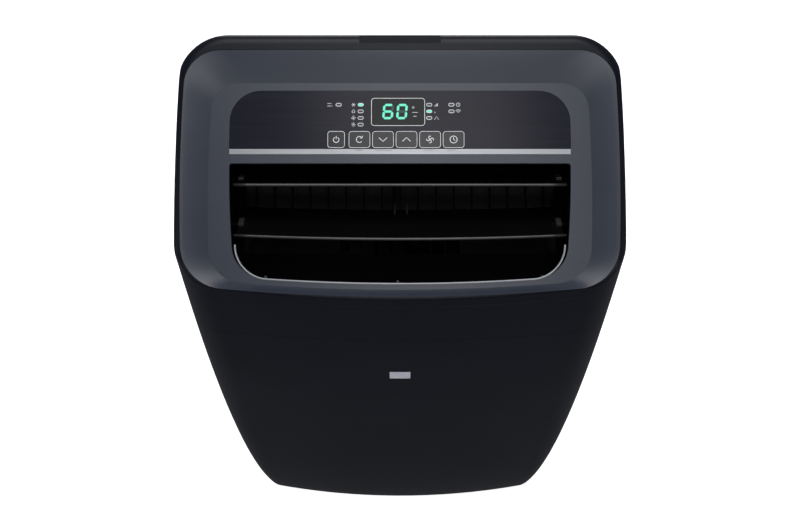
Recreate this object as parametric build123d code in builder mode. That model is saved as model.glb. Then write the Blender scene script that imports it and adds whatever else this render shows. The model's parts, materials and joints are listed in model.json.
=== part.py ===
"""Portable air conditioner, millimetres, +Z up, front towards -Y.

The origin is the centre of the footprint on the floor. The body is one tapered envelope, cut into
separate shells. A deck tilted towards the user holds the controls and the air outlet, and everything
on it is drawn in the deck's own frame: X across, and a run counted from the ridge down to the front.
"""

from build123d import *
from math import cos, radians, sin, sqrt
import os

os.makedirs("parts", exist_ok=True)

# ---- overall sizes -------------------------------------------------------------------------------
WIDTH = 494.0
DEPTH = 420.0
HEIGHT = 768.0
GROUND_GAP = 25.0
DECK_REACH = 263.5
DECK_TILT = 28.0
COLLAR_PROUD = 12.0
COLLAR_DROP = 30.1

# ---- shells and clearances -----------------------------------------------------------------------
WALL = 2.8
SEAM = 0.4
FIT = 0.3
SEAT = 0.3
RUNNING = 0.05
REACH = 1000.0

# ---- envelope ------------------------------------------------------------------------------------
WIDEST_SETBACK = 130.0
SIDE_RADIUS = 1500.0
BACK_CORNER = 40.0
RIDGE_CORNER = 57.0
RIDGE_ROLL = 14.0
RIM_EDGE = 3.0
SIDE_OVERCUT = 1.0
RIM_WALL = 7.4
TILT_COS = cos(radians(DECK_TILT))
TILT_SIN = sin(radians(DECK_TILT))
FRONT_Y = -DEPTH / 2
BACK_Y = DEPTH / 2 - COLLAR_PROUD
RIDGE_Y = FRONT_Y + DECK_REACH
WIDEST_Y = FRONT_Y + WIDEST_SETBACK
RIDGE_Z = HEIGHT + RIDGE_ROLL * (TILT_COS + TILT_SIN - 1)
DECK_RUN = (RIDGE_Y - FRONT_Y) / TILT_COS
SLOPE_FALL = (BACK_Y - RIDGE_Y) / TILT_SIN
SLOPE_FOOT_Z = RIDGE_Z - SLOPE_FALL * TILT_COS
DECK = Plane(origin=(0, RIDGE_Y, RIDGE_Z), x_dir=(1, 0, 0), z_dir=(0, -TILT_SIN, TILT_COS))
SLOPE = Plane(origin=(0, RIDGE_Y, RIDGE_Z), x_dir=(1, 0, 0), z_dir=(0, TILT_COS, TILT_SIN))

# Rows of the envelope: height, loss of half width, set-back and radius of the front, front corner.
BODY_ROWS = (
    (GROUND_GAP - 6.0, 31.7, 20.0, 1075.0, 29.0),
    (GROUND_GAP + 90.0, 16.9, 9.0, 1270.0, 35.0),
    (GROUND_GAP + 205.0, 6.2, 6.0, 1440.0, 40.0),
    (GROUND_GAP + 375.0, 0.3, 1.5, 1800.0, 47.0),
    (HEIGHT - 150.0, 0.0, 0.1, 1900.0, 49.0),
    (HEIGHT + 30.0, 0.0, 0.1, 1900.0, 50.0),
)

# ---- seams between the shells --------------------------------------------------------------------
RIM_DROP = 13.0
BAND_DROP = 82.6
FRONT_SEAM_Y = FRONT_Y + 52.0
REAR_SEAM_Y = RIDGE_Y - 45.5
BAND_Z = RIDGE_Z - DECK_RUN * TILT_SIN - BAND_DROP

# ---- deck, counted from the ridge ----------------------------------------------------------------
RIM_REAR = 21.0
RIM_FRONT = 3.4
DECK_MARGIN = 59.0
DECK_BOW = 2100.0
BOWL_DEPTH = 11.0
BEZEL_SKIN = 2.4
BEZEL_FLOOR = 4.5
LIP_THICK = 3.6
BOWL_REAR = 34.6
BOWL_SIDE = 21.0
BOWL_FRONT = 9.0
GLASS_REAR = 64.6
GLASS_RUN = 65.8
GLASS_HALF = WIDTH / 2 - DECK_MARGIN
GLASS_CORNER = 35.0
GLASS_THICK = 2.2
TRIM_RUN = 6.0
OUTLET_REAR = GLASS_REAR + GLASS_RUN + TRIM_RUN + 10.0
OUTLET_RUN = DECK_RUN - 19.43 - OUTLET_REAR
OUTLET_HALF = GLASS_HALF - 0.2
OUTLET_TAPER = 8.0
OUTLET_CORNER = 38.0

# ---- keys, lights and display --------------------------------------------------------------------
KEY_REAR = 110.1
KEY_RUN = 19.2
KEY_WIDE = 24.0
KEY_NARROW = 19.4
KEY_PITCH = 25.95
KEY_FIRST_X = -44.7
KEY_PROUD = 0.3
KEY_TRAVEL = 0.8
SWITCH_GAP = 0.2
KEY_EAR = (0.6, 1.2)
KEY_SKIRT = 3.8
KEY_ROUND = 0.4
POWER_KEY_X = -70.4
KEY_CORNER = 3.5
LIGHT_SIZE = (6.6, 4.0)
LIGHT_ROW_REAR = 80.3
LIGHT_PITCH = 7.5
LIGHT_COLUMNS = ((-67.9, 1), (-43.5, 4), (32.3, 3), (56.9, 2))
DISPLAY_X = (-32.3, 28.0)
DISPLAY_REAR = 72.1
DISPLAY_RUN = 32.6
DISPLAY_CORNER = 3.0
LAST_KEY_X = KEY_FIRST_X + 4 * KEY_PITCH
KEY_WINDOW_X = (POWER_KEY_X - KEY_NARROW / 2 - 5.9, LAST_KEY_X + KEY_WIDE / 2 + 5.9)
KEY_WINDOW_REAR = 70.0
BOARD_LEDGE = 10.0
BOARD_X = (KEY_WINDOW_X[0] - BOARD_LEDGE, KEY_WINDOW_X[1] + BOARD_LEDGE)
BOARD_REAR = KEY_WINDOW_REAR - 2.0
BOARD_THICK = 1.6
BOARD_DROP = 3.5
BOARD_BOSS = 3.5
CHIP_PLACES = (-70.0, -25.0, 30.0, 62.0)
CHIP_SIZE = (16.0, 14.0, 6.0)
CHIP_REAR = 84.0
DISPLAY_INSET = 2.0
SWITCH_RADIUS = 2.2

# ---- outlet duct and vanes -----------------------------------------------------------------------
DUCT_HALF = OUTLET_HALF + 2.2
DUCT_WALL = 2.5
DUCT_REAR = OUTLET_REAR - 11.8
DUCT_FRONT = OUTLET_REAR + OUTLET_RUN + 4.0
DUCT_DEEP = 88.0
NECK_HALF = DUCT_HALF - 5.0
VANE_THICK = 3.4
VANE_EDGE = 1.5
SHAFT = 3.0
CRANK_THROW = 14.0
CRANK_THICK = 3.0
CRANK_PIN = 2.0
LINK_SLACK = 0.5
# run from the outlet's rear edge, depth under the rim, chord, angle off the deck's normal, bow, half length
UPPER_VANE = (12.6, 39.5, 44.0, 27.4, 0.0, DUCT_HALF - 4.0)
LOWER_VANE = (63.2, 43.4, 62.0, 41.0, 7.6, DUCT_HALF - 9.0)
VANE_STUB = 12.0
CRANK_HUB = 7.0
CRANK_EYE = 4.5
CRANK_ARM = 7.0
LINK_GAP = 0.3
RIB_X = -7.0
RIB_THICK = 3.0
RIB_TALL = 10.0
STEPPER_RADIUS = 14.0
STEPPER_LONG = 19.0
STEPPER_EARS = (44.8, 11.2, 1.2)

# ---- air circuits --------------------------------------------------------------------------------
WHEEL_RADIUS = 88.0
WHEEL_LONG = 60.0
WHEEL_BLADES = 24
INLET_RADIUS = 68.0
SCROLL_WALL = 2.5
SCROLL_LONG = 80.0
SCROLL_GAP = 17.0
WHEEL_SHAFT = 5.0
MOTOR_RADIUS = 42.0
MOTOR_LONG = 50.0
BLOWER_Y = FRONT_Y + 135.0
BLOWER_Z = HEIGHT - 313.0
FAN_Y = BACK_Y - 98.0
FAN_Z = GROUND_GAP + 133.0
PARTITION_Z = BLOWER_Z - 115.0
PARTITION_THICK = 3.0
COLLAR_BORE = 70.0
COLLAR_WALL = 3.0
COLLAR_FLANGE = COLLAR_BORE + COLLAR_WALL + 13.0
COLLAR_FLANGE_THICK = 3.0
COLLAR_Z = SLOPE_FOOT_Z - COLLAR_DROP - COLLAR_FLANGE
EXHAUST_HALF = COLLAR_BORE + 10.0
EXHAUST_TOP = COLLAR_Z + EXHAUST_HALF
COIL_THICK = 32.0
COIL_HALF = WIDTH / 2 - 82.0
WHEEL_DISC = 2.0
WHEEL_HUB = 11.0
BLADE = (16.0, 1.6)
BLADE_ANGLE = 35.0
SHAFT_GRIP = 14.0
MOTOR_FLANGE = (52.0, 3.0)
MOTOR_ROUND = 6.0
FOOT_X = 60.0
FOOT_HALF = 8.0

# ---- rear intakes --------------------------------------------------------------------------------
UPPER_INTAKE_HALF = COIL_HALF
UPPER_INTAKE = (34.0, SLOPE_FALL - 21.8)
LOWER_INTAKE_HALF = COIL_HALF - 15.0
LOWER_INTAKE = (75.0, COLLAR_Z - COLLAR_FLANGE - 7.0)
GRILLE_THICK = 3.0
SLOT = 6.0
SLOT_PITCH = 12.0
SLOT_BRIDGE = 10.0
GRILLE_BORDER = 6.0
GRILLE_CORNER = 5.0
GRILLE_COLUMNS = 3
FILTER_INSET = 4.0
FILTER_BAR = 6.0
FILTER_THICK = 2.6
FILTER_WEB = 0.6

# ---- base, casters and small parts ---------------------------------------------------------------
PAN_FLOOR = 3.0
PAN_HEIGHT = 34.0
PAN_WALL = 2.5
FRONT_CASTER = (WIDTH / 2 - 95.0, FRONT_Y + 82.0)
REAR_CASTER = (WIDTH / 2 - 112.0, BACK_Y - 52.0)
CASTER_SPOTS = {"front_left": (-FRONT_CASTER[0], FRONT_CASTER[1]), "front_right": FRONT_CASTER,
                "rear_left": (-REAR_CASTER[0], REAR_CASTER[1]), "rear_right": REAR_CASTER}
CASTER_RADIUS = 19.0
CASTER_WIDE = 16.0
CASTER_TRAIL = 12.0
CASTER_STEM = 4.0
CASTER_AXLE = 3.0
FORK_WALL = 2.5
FORK_GAP = 0.8
FORK_CROWN = (16.0, 3.0)
FORK_FOOT = 6.0
WHEEL_ROUND = 2.0
POCKET_RADIUS = CASTER_TRAIL + CASTER_RADIUS + 7.0
POCKET_TOP = 2 * CASTER_RADIUS + 18.0
HANDLE_Y = (FRONT_SEAM_Y + 18.0, REAR_SEAM_Y - 20.0)
HANDLE_Z = (HEIGHT - 170.0, HEIGHT - 128.0)
HANDLE_DEPTH = 29.0
HANDLE_WALL = 2.2
WINDOW_SIZE = (25.0, 17.0)
WINDOW_Z = BAND_Z - 85.24
WINDOW_THICK = 2.4
SPOUT_X = 60.0
SPOUT_Z = 45.0
SPOUT_RADIUS = 8.0
SPOUT_BORE = 5.5
SPOUT_PROUD = 8.0
SPOUT_FLANGE = 4.0
CAP_RADIUS = 11.0
CAP_THICK = 3.0
GLAND_X = -130.0
GLAND_Z = COLLAR_Z - 55.0
GLAND_RADIUS = 11.0
GLAND_LIP = 2.0
GLAND_PROUD = 4.0
GLAND_TAIL = 6.0
GLAND_BORE = 4.5
SCREW_RADIUS = 1.6
SCREW_HEAD = 3.6
SCREW_HEAD_THICK = 1.8
SCREW_LONG = 8.0
SCREW_PLAY = 0.1
COMPRESSOR_SPOT = (-92.0, FAN_Y - 135.0)
COMPRESSOR_RADIUS = 52.0
COMPRESSOR_ROOM = 95.7
COMPRESSOR_DOME = 20.0
MOUNT_RING = 58.0
MOUNT_RADIUS = 9.0
MOUNT_TALL = 26.0
MOUNT_ANGLES = (80.0, 200.0, 320.0)
PLATE_THICK = 3.0
TANK_RADIUS = 17.0
TANK_GAP = 5.0
TANK_RISE = 30.0
TANK_TALL = 110.0
PIPE = 4.0
PIPE_BEND = 10.0
BOX_LID = 2.0
NOTCH_HALF = 45.0
NOTCH_DEPTH = 1.4


# ---- helpers -------------------------------------------------------------------------------------
def save(piece, label):
    """Name a finished piece and write it."""
    piece.part.label = label
    export_step(piece.part, f"parts/{label}.step")
    print(label, round(piece.part.volume))


def side_x(half_width, y):
    """Half width of the envelope at y, on the long side arc."""
    return half_width - (y - WIDEST_Y) ** 2 / (2 * SIDE_RADIUS)


def deck_point(x, run, depth):
    """A point given in the deck's frame: across, down the run, and below the rim."""
    return DECK.from_local_coords(Vector(x, -run, -depth))


def body_section(row, inset):
    """One level outline of the envelope: bowed front, long side arcs and a flat back."""
    height, loss, set_back, front_radius, corner = row
    half_width = WIDTH / 2 - loss - inset
    front = FRONT_Y + set_back + inset
    arc_radius = front_radius - inset
    corner_y = front + arc_radius - sqrt(arc_radius**2 - half_width**2)
    back = BACK_Y - inset
    front_x = side_x(half_width, corner_y)
    back_x = side_x(half_width, back)
    with BuildSketch(Plane.XY.offset(height)) as section:
        with BuildLine():
            ThreePointArc((-front_x, corner_y), (0, front), (front_x, corner_y))
            ThreePointArc((front_x, corner_y), (half_width, WIDEST_Y), (back_x, back))
            Line((back_x, back), (-back_x, back))
            ThreePointArc((-back_x, back), (-half_width, WIDEST_Y), (-front_x, corner_y))
        make_face()
        fillet(section.vertices().group_by(Axis.Y)[0], corner - inset)
        fillet(section.vertices().group_by(Axis.Y)[-1], BACK_CORNER - inset)
    return section.sketch


def ridge_block(inset):
    """The space under the deck and in front of the rear slope, with the rolled ridge."""
    half = WIDTH / 2 + SIDE_OVERCUT - inset
    with BuildPart() as block:
        with BuildSketch(DECK) as outline:
            with BuildLine():
                Polyline((-half, -REACH), (-half, -inset), (half, -inset), (half, -REACH), close=True)
            make_face()
            fillet(outline.vertices().group_by(Axis.Y)[-1], RIDGE_CORNER - inset)
        extrude(amount=-REACH)
        top = block.faces().sort_by(Axis(DECK.origin, DECK.z_dir))[-1]
        corner_z = RIDGE_Z - RIDGE_CORNER * TILT_SIN
        rear = [edge for edge in top.edges() if edge.center().Z > corner_z]
        fillet(rear, RIDGE_ROLL - inset)
    return block.part


def envelope(inset):
    """The whole body as one solid, every face moved in by the inset."""
    sections = [body_section(row, inset) for row in BODY_ROWS]
    block = ridge_block(inset)
    with BuildPart() as solid:
        loft(sections)
        add(block, mode=Mode.INTERSECT)
    return solid.part


def box_between(low, high):
    """A box from its lowest to its highest corner."""
    size = [b - a for a, b in zip(low, high)]
    middle = [(a + b) / 2 for a, b in zip(low, high)]
    with BuildPart() as box:
        with Locations(tuple(middle)):
            Box(*size)
    return box.part


def deck_box(x_range, run_range, depth_range):
    """A box in the deck's frame."""
    with BuildPart() as box:
        with BuildSketch(DECK.offset(-depth_range[0])):
            with Locations(((x_range[0] + x_range[1]) / 2, -(run_range[0] + run_range[1]) / 2)):
                Rectangle(x_range[1] - x_range[0], run_range[1] - run_range[0])
        extrude(amount=depth_range[0] - depth_range[1])
    return box.part


def slope_box(x_range, fall_range, inset_range):
    """A box in the frame of the rear slope: across, down the slope, and inwards from it."""
    with BuildPart() as box:
        with BuildSketch(SLOPE.offset(-inset_range[0])):
            with Locations(((x_range[0] + x_range[1]) / 2, (fall_range[0] + fall_range[1]) / 2)):
                Rectangle(x_range[1] - x_range[0], fall_range[1] - fall_range[0])
        extrude(amount=inset_range[0] - inset_range[1])
    return box.part


def deck_patch(depth, rear, front, halves, corners):
    """Outline on the deck with a straight rear edge and a bowed front edge."""
    half_rear, half_middle, half_front = halves
    bow = DECK_BOW - sqrt(DECK_BOW**2 - half_front**2)
    middle = -(rear + front) / 2
    with BuildSketch(DECK.offset(-depth)) as patch:
        with BuildLine():
            Line((-half_rear, -rear), (half_rear, -rear))
            ThreePointArc((half_rear, -rear), (half_middle, middle), (half_front, bow - front))
            ThreePointArc((half_front, bow - front), (0, -front), (-half_front, bow - front))
            ThreePointArc((-half_front, bow - front), (-half_middle, middle), (-half_rear, -rear))
        make_face()
        fillet(patch.vertices().group_by(Axis.Y)[-1], corners[0])
        fillet(patch.vertices().group_by(Axis.Y)[0], corners[1])
    return patch.sketch


def rim_patch(depth, inset):
    """The rim's opening, or an outline that lies the inset inside it."""
    middle = WIDTH / 2 - RIM_WALL - inset
    halves = (middle - 3.5, middle, middle - 4.5)
    return deck_patch(depth, RIM_REAR + inset, DECK_RUN - RIM_FRONT - inset, halves,
                      (40.0 - inset, 50.0 - inset))


def bowl(extra, top_depth, floor_depth):
    """The sunk bowl of the bezel, from lip to floor, grown outwards by extra."""
    top_middle = WIDTH / 2 - RIM_WALL - 8.0 + extra
    floor_middle = top_middle - BOWL_SIDE
    top = deck_patch(top_depth, RIM_REAR + 3.0 - extra, DECK_RUN - RIM_FRONT - 4.2 + extra,
                     (top_middle - 3.0, top_middle, top_middle - 4.0), (36.0 + extra, 45.0 + extra))
    floor = deck_patch(floor_depth, RIM_REAR + BOWL_REAR - extra, DECK_RUN - RIM_FRONT - BOWL_FRONT + extra,
                       (floor_middle - 3.0, floor_middle, floor_middle - 4.0), (30.0 + extra, 40.0 + extra))
    with BuildPart() as shape:
        loft([top, floor], ruled=True)
    return shape.part


def glass_patch(depth, grow, run):
    """The glass panel's outline: round rear corners and nearly square front ones."""
    half = GLASS_HALF + grow
    rear = GLASS_REAR - grow
    front = GLASS_REAR + run + grow
    with BuildSketch(DECK.offset(-depth)) as patch:
        with Locations((0, -(rear + front) / 2)):
            Rectangle(2 * half, front - rear)
        fillet(patch.vertices().group_by(Axis.Y)[-1], GLASS_CORNER)
    return patch.sketch


def key_spots():
    """Each key's name, centre and width."""
    names = ("mode_button", "down_button", "up_button", "fan_button", "timer_button")
    spots = [(name, KEY_FIRST_X + i * KEY_PITCH, KEY_WIDE) for i, name in enumerate(names)]
    return [("power_button", POWER_KEY_X, KEY_NARROW)] + spots


def light_spots():
    """Centres of the status lights on the deck."""
    return [(x, -(LIGHT_ROW_REAR + i * LIGHT_PITCH)) for x, count in LIGHT_COLUMNS for i in range(count)]


def vane_pivot(vane):
    """Run and depth of a vane's axis."""
    return OUTLET_REAR + vane[0], vane[1]


def vane_plane(vane):
    """A plane through the vane: X across, Y from its deep edge to its near edge."""
    run, depth = vane_pivot(vane)
    angle = radians(vane[3])
    along = DECK.z_dir * cos(angle) - DECK.y_dir * sin(angle)
    return Plane(origin=deck_point(0, run, depth), x_dir=(1, 0, 0), z_dir=Vector(1, 0, 0).cross(along))


def across_plane(x, run, depth):
    """A plane square to X at a point of the deck's frame."""
    return Plane(origin=deck_point(x, run, depth), x_dir=DECK.y_dir, z_dir=(1, 0, 0))


KEY_DEEP = BOWL_DEPTH + GLASS_THICK + KEY_SKIRT
BOARD_DEPTH = BOWL_DEPTH + BEZEL_FLOOR + BOARD_DROP
DUCT_DEPTH = BOWL_DEPTH + BEZEL_FLOOR + SEAT
BODY = envelope(0)
CAVITY = envelope(WALL)
with BuildPart() as shell:
    add(BODY)
    add(CAVITY, mode=Mode.SUBTRACT)
UNDER_RIM = deck_box((-REACH, REACH), (-REACH, REACH), (RIM_DROP + SEAM, 2 * REACH))


# ---- top frame: the dark rim round the deck --------------------------------------------------------
with BuildPart() as top_frame:
    add(BODY)
    add(deck_box((-REACH, REACH), (-REACH, REACH), (0, RIM_DROP)), mode=Mode.INTERSECT)
    fillet(top_frame.edges().group_by(Axis(DECK.origin, DECK.z_dir))[-1], RIM_EDGE)
    extrude(rim_patch(0, 0), amount=-RIM_DROP, mode=Mode.SUBTRACT)
    notch_low = (-NOTCH_HALF, RIDGE_Y - RIDGE_ROLL, HEIGHT - NOTCH_DEPTH)
    add(box_between(notch_low, (NOTCH_HALF, REACH, REACH)), mode=Mode.SUBTRACT)
save(top_frame, "top_frame")

# ---- shells under the rim --------------------------------------------------------------------------
SHELL_ZONES = {
    "upper_front_band": ((-REACH, -REACH, BAND_Z + SEAM / 2), (REACH, FRONT_SEAM_Y - SEAM / 2, REACH)),
    "front_panel": ((-REACH, -REACH, GROUND_GAP), (REACH, FRONT_SEAM_Y - SEAM / 2, BAND_Z - SEAM / 2)),
    "side_panel_left": ((-REACH, FRONT_SEAM_Y + SEAM / 2, GROUND_GAP), (0, REAR_SEAM_Y - SEAM / 2, REACH)),
    "side_panel_right": ((0, FRONT_SEAM_Y + SEAM / 2, GROUND_GAP), (REACH, REAR_SEAM_Y - SEAM / 2, REACH)),
    "rear_casing": ((-REACH, REAR_SEAM_Y + SEAM / 2, GROUND_GAP), (REACH, REACH, REACH)),
}


def shell_piece(label, *cuts):
    """One zone of the shell under the rim, less its cut-outs."""
    with BuildPart() as panel:
        add(shell.part)
        add(box_between(*SHELL_ZONES[label]), mode=Mode.INTERSECT)
        add(UNDER_RIM, mode=Mode.INTERSECT)
        for cut in cuts:
            add(cut, mode=Mode.SUBTRACT)
    return panel


def handle_block(side, grow, depth):
    """The space of a side handle, grown in its outline and ending at the given depth."""
    inner = WIDTH / 2 - depth
    x_range = sorted((side * inner, side * WIDTH))
    low = (x_range[0], HANDLE_Y[0] - grow, HANDLE_Z[0] - grow)
    return box_between(low, (x_range[1], HANDLE_Y[1] + grow, HANDLE_Z[1] + grow))


def turned(radius, start, end, x, z, bore=0.0):
    """A round bar or tube along Y between two places."""
    with BuildPart() as bar:
        with BuildSketch(Plane.XZ.offset(-end)):
            with Locations((x, z)):
                Circle(radius)
                if bore:
                    Circle(bore, mode=Mode.SUBTRACT)
        extrude(amount=end - start)
    return bar.part


def ring_spots(count, radius, x, z, start=45.0):
    """Places round a centre on the back wall."""
    angles = [radians(start + i * 360.0 / count) for i in range(count)]
    return [(x + radius * cos(angle), z + radius * sin(angle)) for angle in angles]


def window_block(grow):
    """The receiver window's space through the front panel."""
    half = WINDOW_SIZE[0] / 2 + grow
    half_tall = WINDOW_SIZE[1] / 2 + grow
    return box_between((-half, -REACH, WINDOW_Z - half_tall), (half, 0, WINDOW_Z + half_tall))


COLLAR_SCREWS = ring_spots(4, (COLLAR_FLANGE + COLLAR_BORE + COLLAR_WALL) / 2, 0, COLLAR_Z)
CASING_SCREWS = [(-80.0, SPOUT_Z), (90.0, SPOUT_Z)]
collar_hole = turned(COLLAR_BORE + COLLAR_WALL + FIT, 0, REACH, 0, COLLAR_Z)
gland_hole = turned(GLAND_RADIUS - GLAND_LIP + FIT, 0, REACH, GLAND_X, GLAND_Z)
spout_hole = turned(SPOUT_RADIUS + FIT, 0, REACH, SPOUT_X, SPOUT_Z)
screw_holes = [turned(SCREW_RADIUS + SCREW_PLAY, 0, REACH, x, z) for x, z in COLLAR_SCREWS + CASING_SCREWS]
upper_window = slope_box((-UPPER_INTAKE_HALF, UPPER_INTAKE_HALF), UPPER_INTAKE, (-10, 10))
lower_window = box_between((-LOWER_INTAKE_HALF, 0, LOWER_INTAKE[0]),
                           (LOWER_INTAKE_HALF, REACH, LOWER_INTAKE[1]))

save(shell_piece("upper_front_band"), "upper_front_band")
save(shell_piece("front_panel", window_block(FIT)), "front_panel")
save(shell_piece("side_panel_left", handle_block(-1, SEAM, HANDLE_DEPTH)), "side_panel_left")
save(shell_piece("side_panel_right", handle_block(1, SEAM, HANDLE_DEPTH)), "side_panel_right")
save(shell_piece("rear_casing", upper_window, lower_window, collar_hole, gland_hole, spout_hole,
                 *screw_holes), "rear_casing")

with BuildPart() as receiver_window:
    add(BODY)
    add(window_block(0), mode=Mode.INTERSECT)
    add(envelope(WINDOW_THICK), mode=Mode.SUBTRACT)
save(receiver_window, "receiver_window")

for side, label in ((-1, "handle_cup_left"), (1, "handle_cup_right")):
    with BuildPart() as handle_cup:
        add(BODY)
        add(handle_block(side, 0, HANDLE_DEPTH), mode=Mode.INTERSECT)
        add(handle_block(side, -HANDLE_WALL, HANDLE_DEPTH - HANDLE_WALL), mode=Mode.SUBTRACT)
    save(handle_cup, label)

# ---- deck bezel, glass and trim --------------------------------------------------------------------
POCKET_DEPTH = BOWL_DEPTH + GLASS_THICK + 0.05
KEY_WINDOW = (KEY_WINDOW_REAR, KEY_REAR + KEY_RUN + 0.5)
OUTLET_FRONT = OUTLET_REAR + OUTLET_RUN
outlet_halves = (OUTLET_HALF, OUTLET_HALF - 2.4, OUTLET_HALF - OUTLET_TAPER)
outlet_mouth = deck_patch(0, OUTLET_REAR, OUTLET_FRONT, outlet_halves, (3.0, OUTLET_CORNER))
BOSS_X = (BOARD_X[0] + 5.5, BOARD_X[1] - 5.5)
BOARD_BOSSES = [(x, -run) for x in BOSS_X for run in (BOARD_REAR + 6.0, KEY_REAR + KEY_RUN - 4.3)]

with BuildPart() as deck_bezel:
    extrude(rim_patch(FIT, FIT), amount=FIT - LIP_THICK)
    add(bowl(BEZEL_SKIN, FIT, BOWL_DEPTH + BEZEL_FLOOR))
    add(bowl(0, 0, BOWL_DEPTH), mode=Mode.SUBTRACT)
    extrude(outlet_mouth, amount=-REACH, mode=Mode.SUBTRACT)
    extrude(glass_patch(0, FIT, GLASS_RUN + TRIM_RUN), amount=-POCKET_DEPTH, mode=Mode.SUBTRACT)
    add(deck_box(KEY_WINDOW_X, KEY_WINDOW, (0, 2 * POCKET_DEPTH)), mode=Mode.SUBTRACT)
    with BuildSketch(DECK.offset(-BOARD_DEPTH + FIT / 3)):
        with Locations(*BOARD_BOSSES):
            Circle(BOARD_BOSS)
    extrude(amount=BOARD_DROP + 0.5)
save(deck_bezel, "deck_bezel")


def oval(depth, grow):
    """Outline of the status lights at a depth."""
    with BuildSketch(DECK.offset(-depth)) as ovals:
        with Locations(*light_spots()):
            SlotOverall(LIGHT_SIZE[0] + 2 * grow, LIGHT_SIZE[1] + 2 * grow)
    return ovals.sketch


def key_outline(x, width, grow, depth):
    """Outline of one key."""
    with BuildSketch(DECK.offset(-depth)) as outline:
        with Locations((x, -KEY_REAR - KEY_RUN / 2)):
            RectangleRounded(width + 2 * grow, KEY_RUN + 2 * grow, KEY_CORNER + grow)
    return outline.sketch


def display_outline(depth, grow):
    """Outline of the display lens."""
    with BuildSketch(DECK.offset(-depth)) as outline:
        with Locations(((DISPLAY_X[0] + DISPLAY_X[1]) / 2, -DISPLAY_REAR - DISPLAY_RUN / 2)):
            RectangleRounded(DISPLAY_X[1] - DISPLAY_X[0] + 2 * grow, DISPLAY_RUN + 2 * grow,
                             DISPLAY_CORNER + grow)
    return outline.sketch


with BuildPart() as control_glass:
    extrude(glass_patch(BOWL_DEPTH, 0, GLASS_RUN - 0.1), amount=-GLASS_THICK)
    extrude(oval(0, FIT / 2), amount=-REACH, mode=Mode.SUBTRACT)
    extrude(display_outline(0, FIT / 2), amount=-REACH, mode=Mode.SUBTRACT)
    for _, key_x, key_width in key_spots():
        extrude(key_outline(key_x, key_width, FIT, 0), amount=-REACH, mode=Mode.SUBTRACT)
save(control_glass, "control_glass")

with BuildPart() as trim_strip:
    add(deck_box((-GLASS_HALF, GLASS_HALF), (GLASS_REAR + GLASS_RUN, GLASS_REAR + GLASS_RUN + TRIM_RUN),
                 (BOWL_DEPTH - 0.4, BOWL_DEPTH + GLASS_THICK)))
    fillet(trim_strip.edges().filter_by(Axis.X).group_by(Axis(DECK.origin, DECK.z_dir))[-1], 0.3)
save(trim_strip, "trim_strip")

with BuildPart() as display_lens:
    extrude(display_outline(BOWL_DEPTH, 0), amount=-GLASS_THICK)
save(display_lens, "display_lens")

with BuildPart() as status_lights:
    extrude(oval(BOWL_DEPTH - 0.1, 0), amount=BOWL_DEPTH - BOARD_DEPTH + SEAT / 2)
save(status_lights, "status_lights")

for label, key_x, key_width in key_spots():
    ear_half = key_width / 2 + KEY_EAR[0]
    ear_depth = BOWL_DEPTH + GLASS_THICK + FIT
    with BuildPart() as key:
        cap = key_outline(key_x, key_width, 0, BOWL_DEPTH - KEY_PROUD)
        extrude(cap, amount=BOWL_DEPTH - KEY_PROUD - KEY_DEEP)
        ear_run = (KEY_REAR + KEY_CORNER, KEY_REAR + KEY_RUN - KEY_CORNER)
        add(deck_box((key_x - ear_half, key_x + ear_half), ear_run, (ear_depth, ear_depth + KEY_EAR[1])))
        key_top = key.faces().sort_by(Axis(DECK.origin, DECK.z_dir))[-1]
        fillet(key_top.edges(), KEY_ROUND)
    save(key, label)

with BuildPart() as control_board:
    board_run = (BOARD_REAR, DUCT_REAR - DUCT_WALL - FIT)
    add(deck_box(BOARD_X, board_run, (BOARD_DEPTH, BOARD_DEPTH + BOARD_THICK)))
    add(deck_box((DISPLAY_X[0] + DISPLAY_INSET, DISPLAY_X[1] - DISPLAY_INSET),
                 (DISPLAY_REAR + DISPLAY_INSET, DISPLAY_REAR + DISPLAY_RUN - DISPLAY_INSET),
                 (BOWL_DEPTH + GLASS_THICK + SEAT, BOARD_DEPTH)))
    with BuildSketch(DECK.offset(-BOARD_DEPTH)):
        with Locations(*[(x, -KEY_REAR - KEY_RUN / 2) for _, x, _ in key_spots()]):
            Circle(SWITCH_RADIUS)
    extrude(amount=BOARD_DEPTH - KEY_DEEP - KEY_TRAVEL - SWITCH_GAP)
    chip_run = (CHIP_REAR, CHIP_REAR + CHIP_SIZE[1])
    chip_depth = (BOARD_DEPTH + BOARD_THICK, BOARD_DEPTH + BOARD_THICK + CHIP_SIZE[2])
    for x in CHIP_PLACES:
        add(deck_box((x, x + CHIP_SIZE[0]), chip_run, chip_depth))
save(control_board, "control_board")

# ---- outlet duct with its rib ----------------------------------------------------------------------
NECK_RUN = (OUTLET_REAR + 5.0, OUTLET_REAR + 90.0)
DUCT_X = (-DUCT_HALF, DUCT_HALF)
DUCT_OUTER_X = (-DUCT_HALF - DUCT_WALL, DUCT_HALF + DUCT_WALL)


def shaft_bar(vane, radius, x_range):
    """A round bar along a vane's axis."""
    run, depth = vane_pivot(vane)
    with BuildPart() as bar:
        with BuildSketch(across_plane(x_range[0], run, depth)):
            Circle(radius)
        extrude(amount=x_range[1] - x_range[0])
    return bar.part


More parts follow.
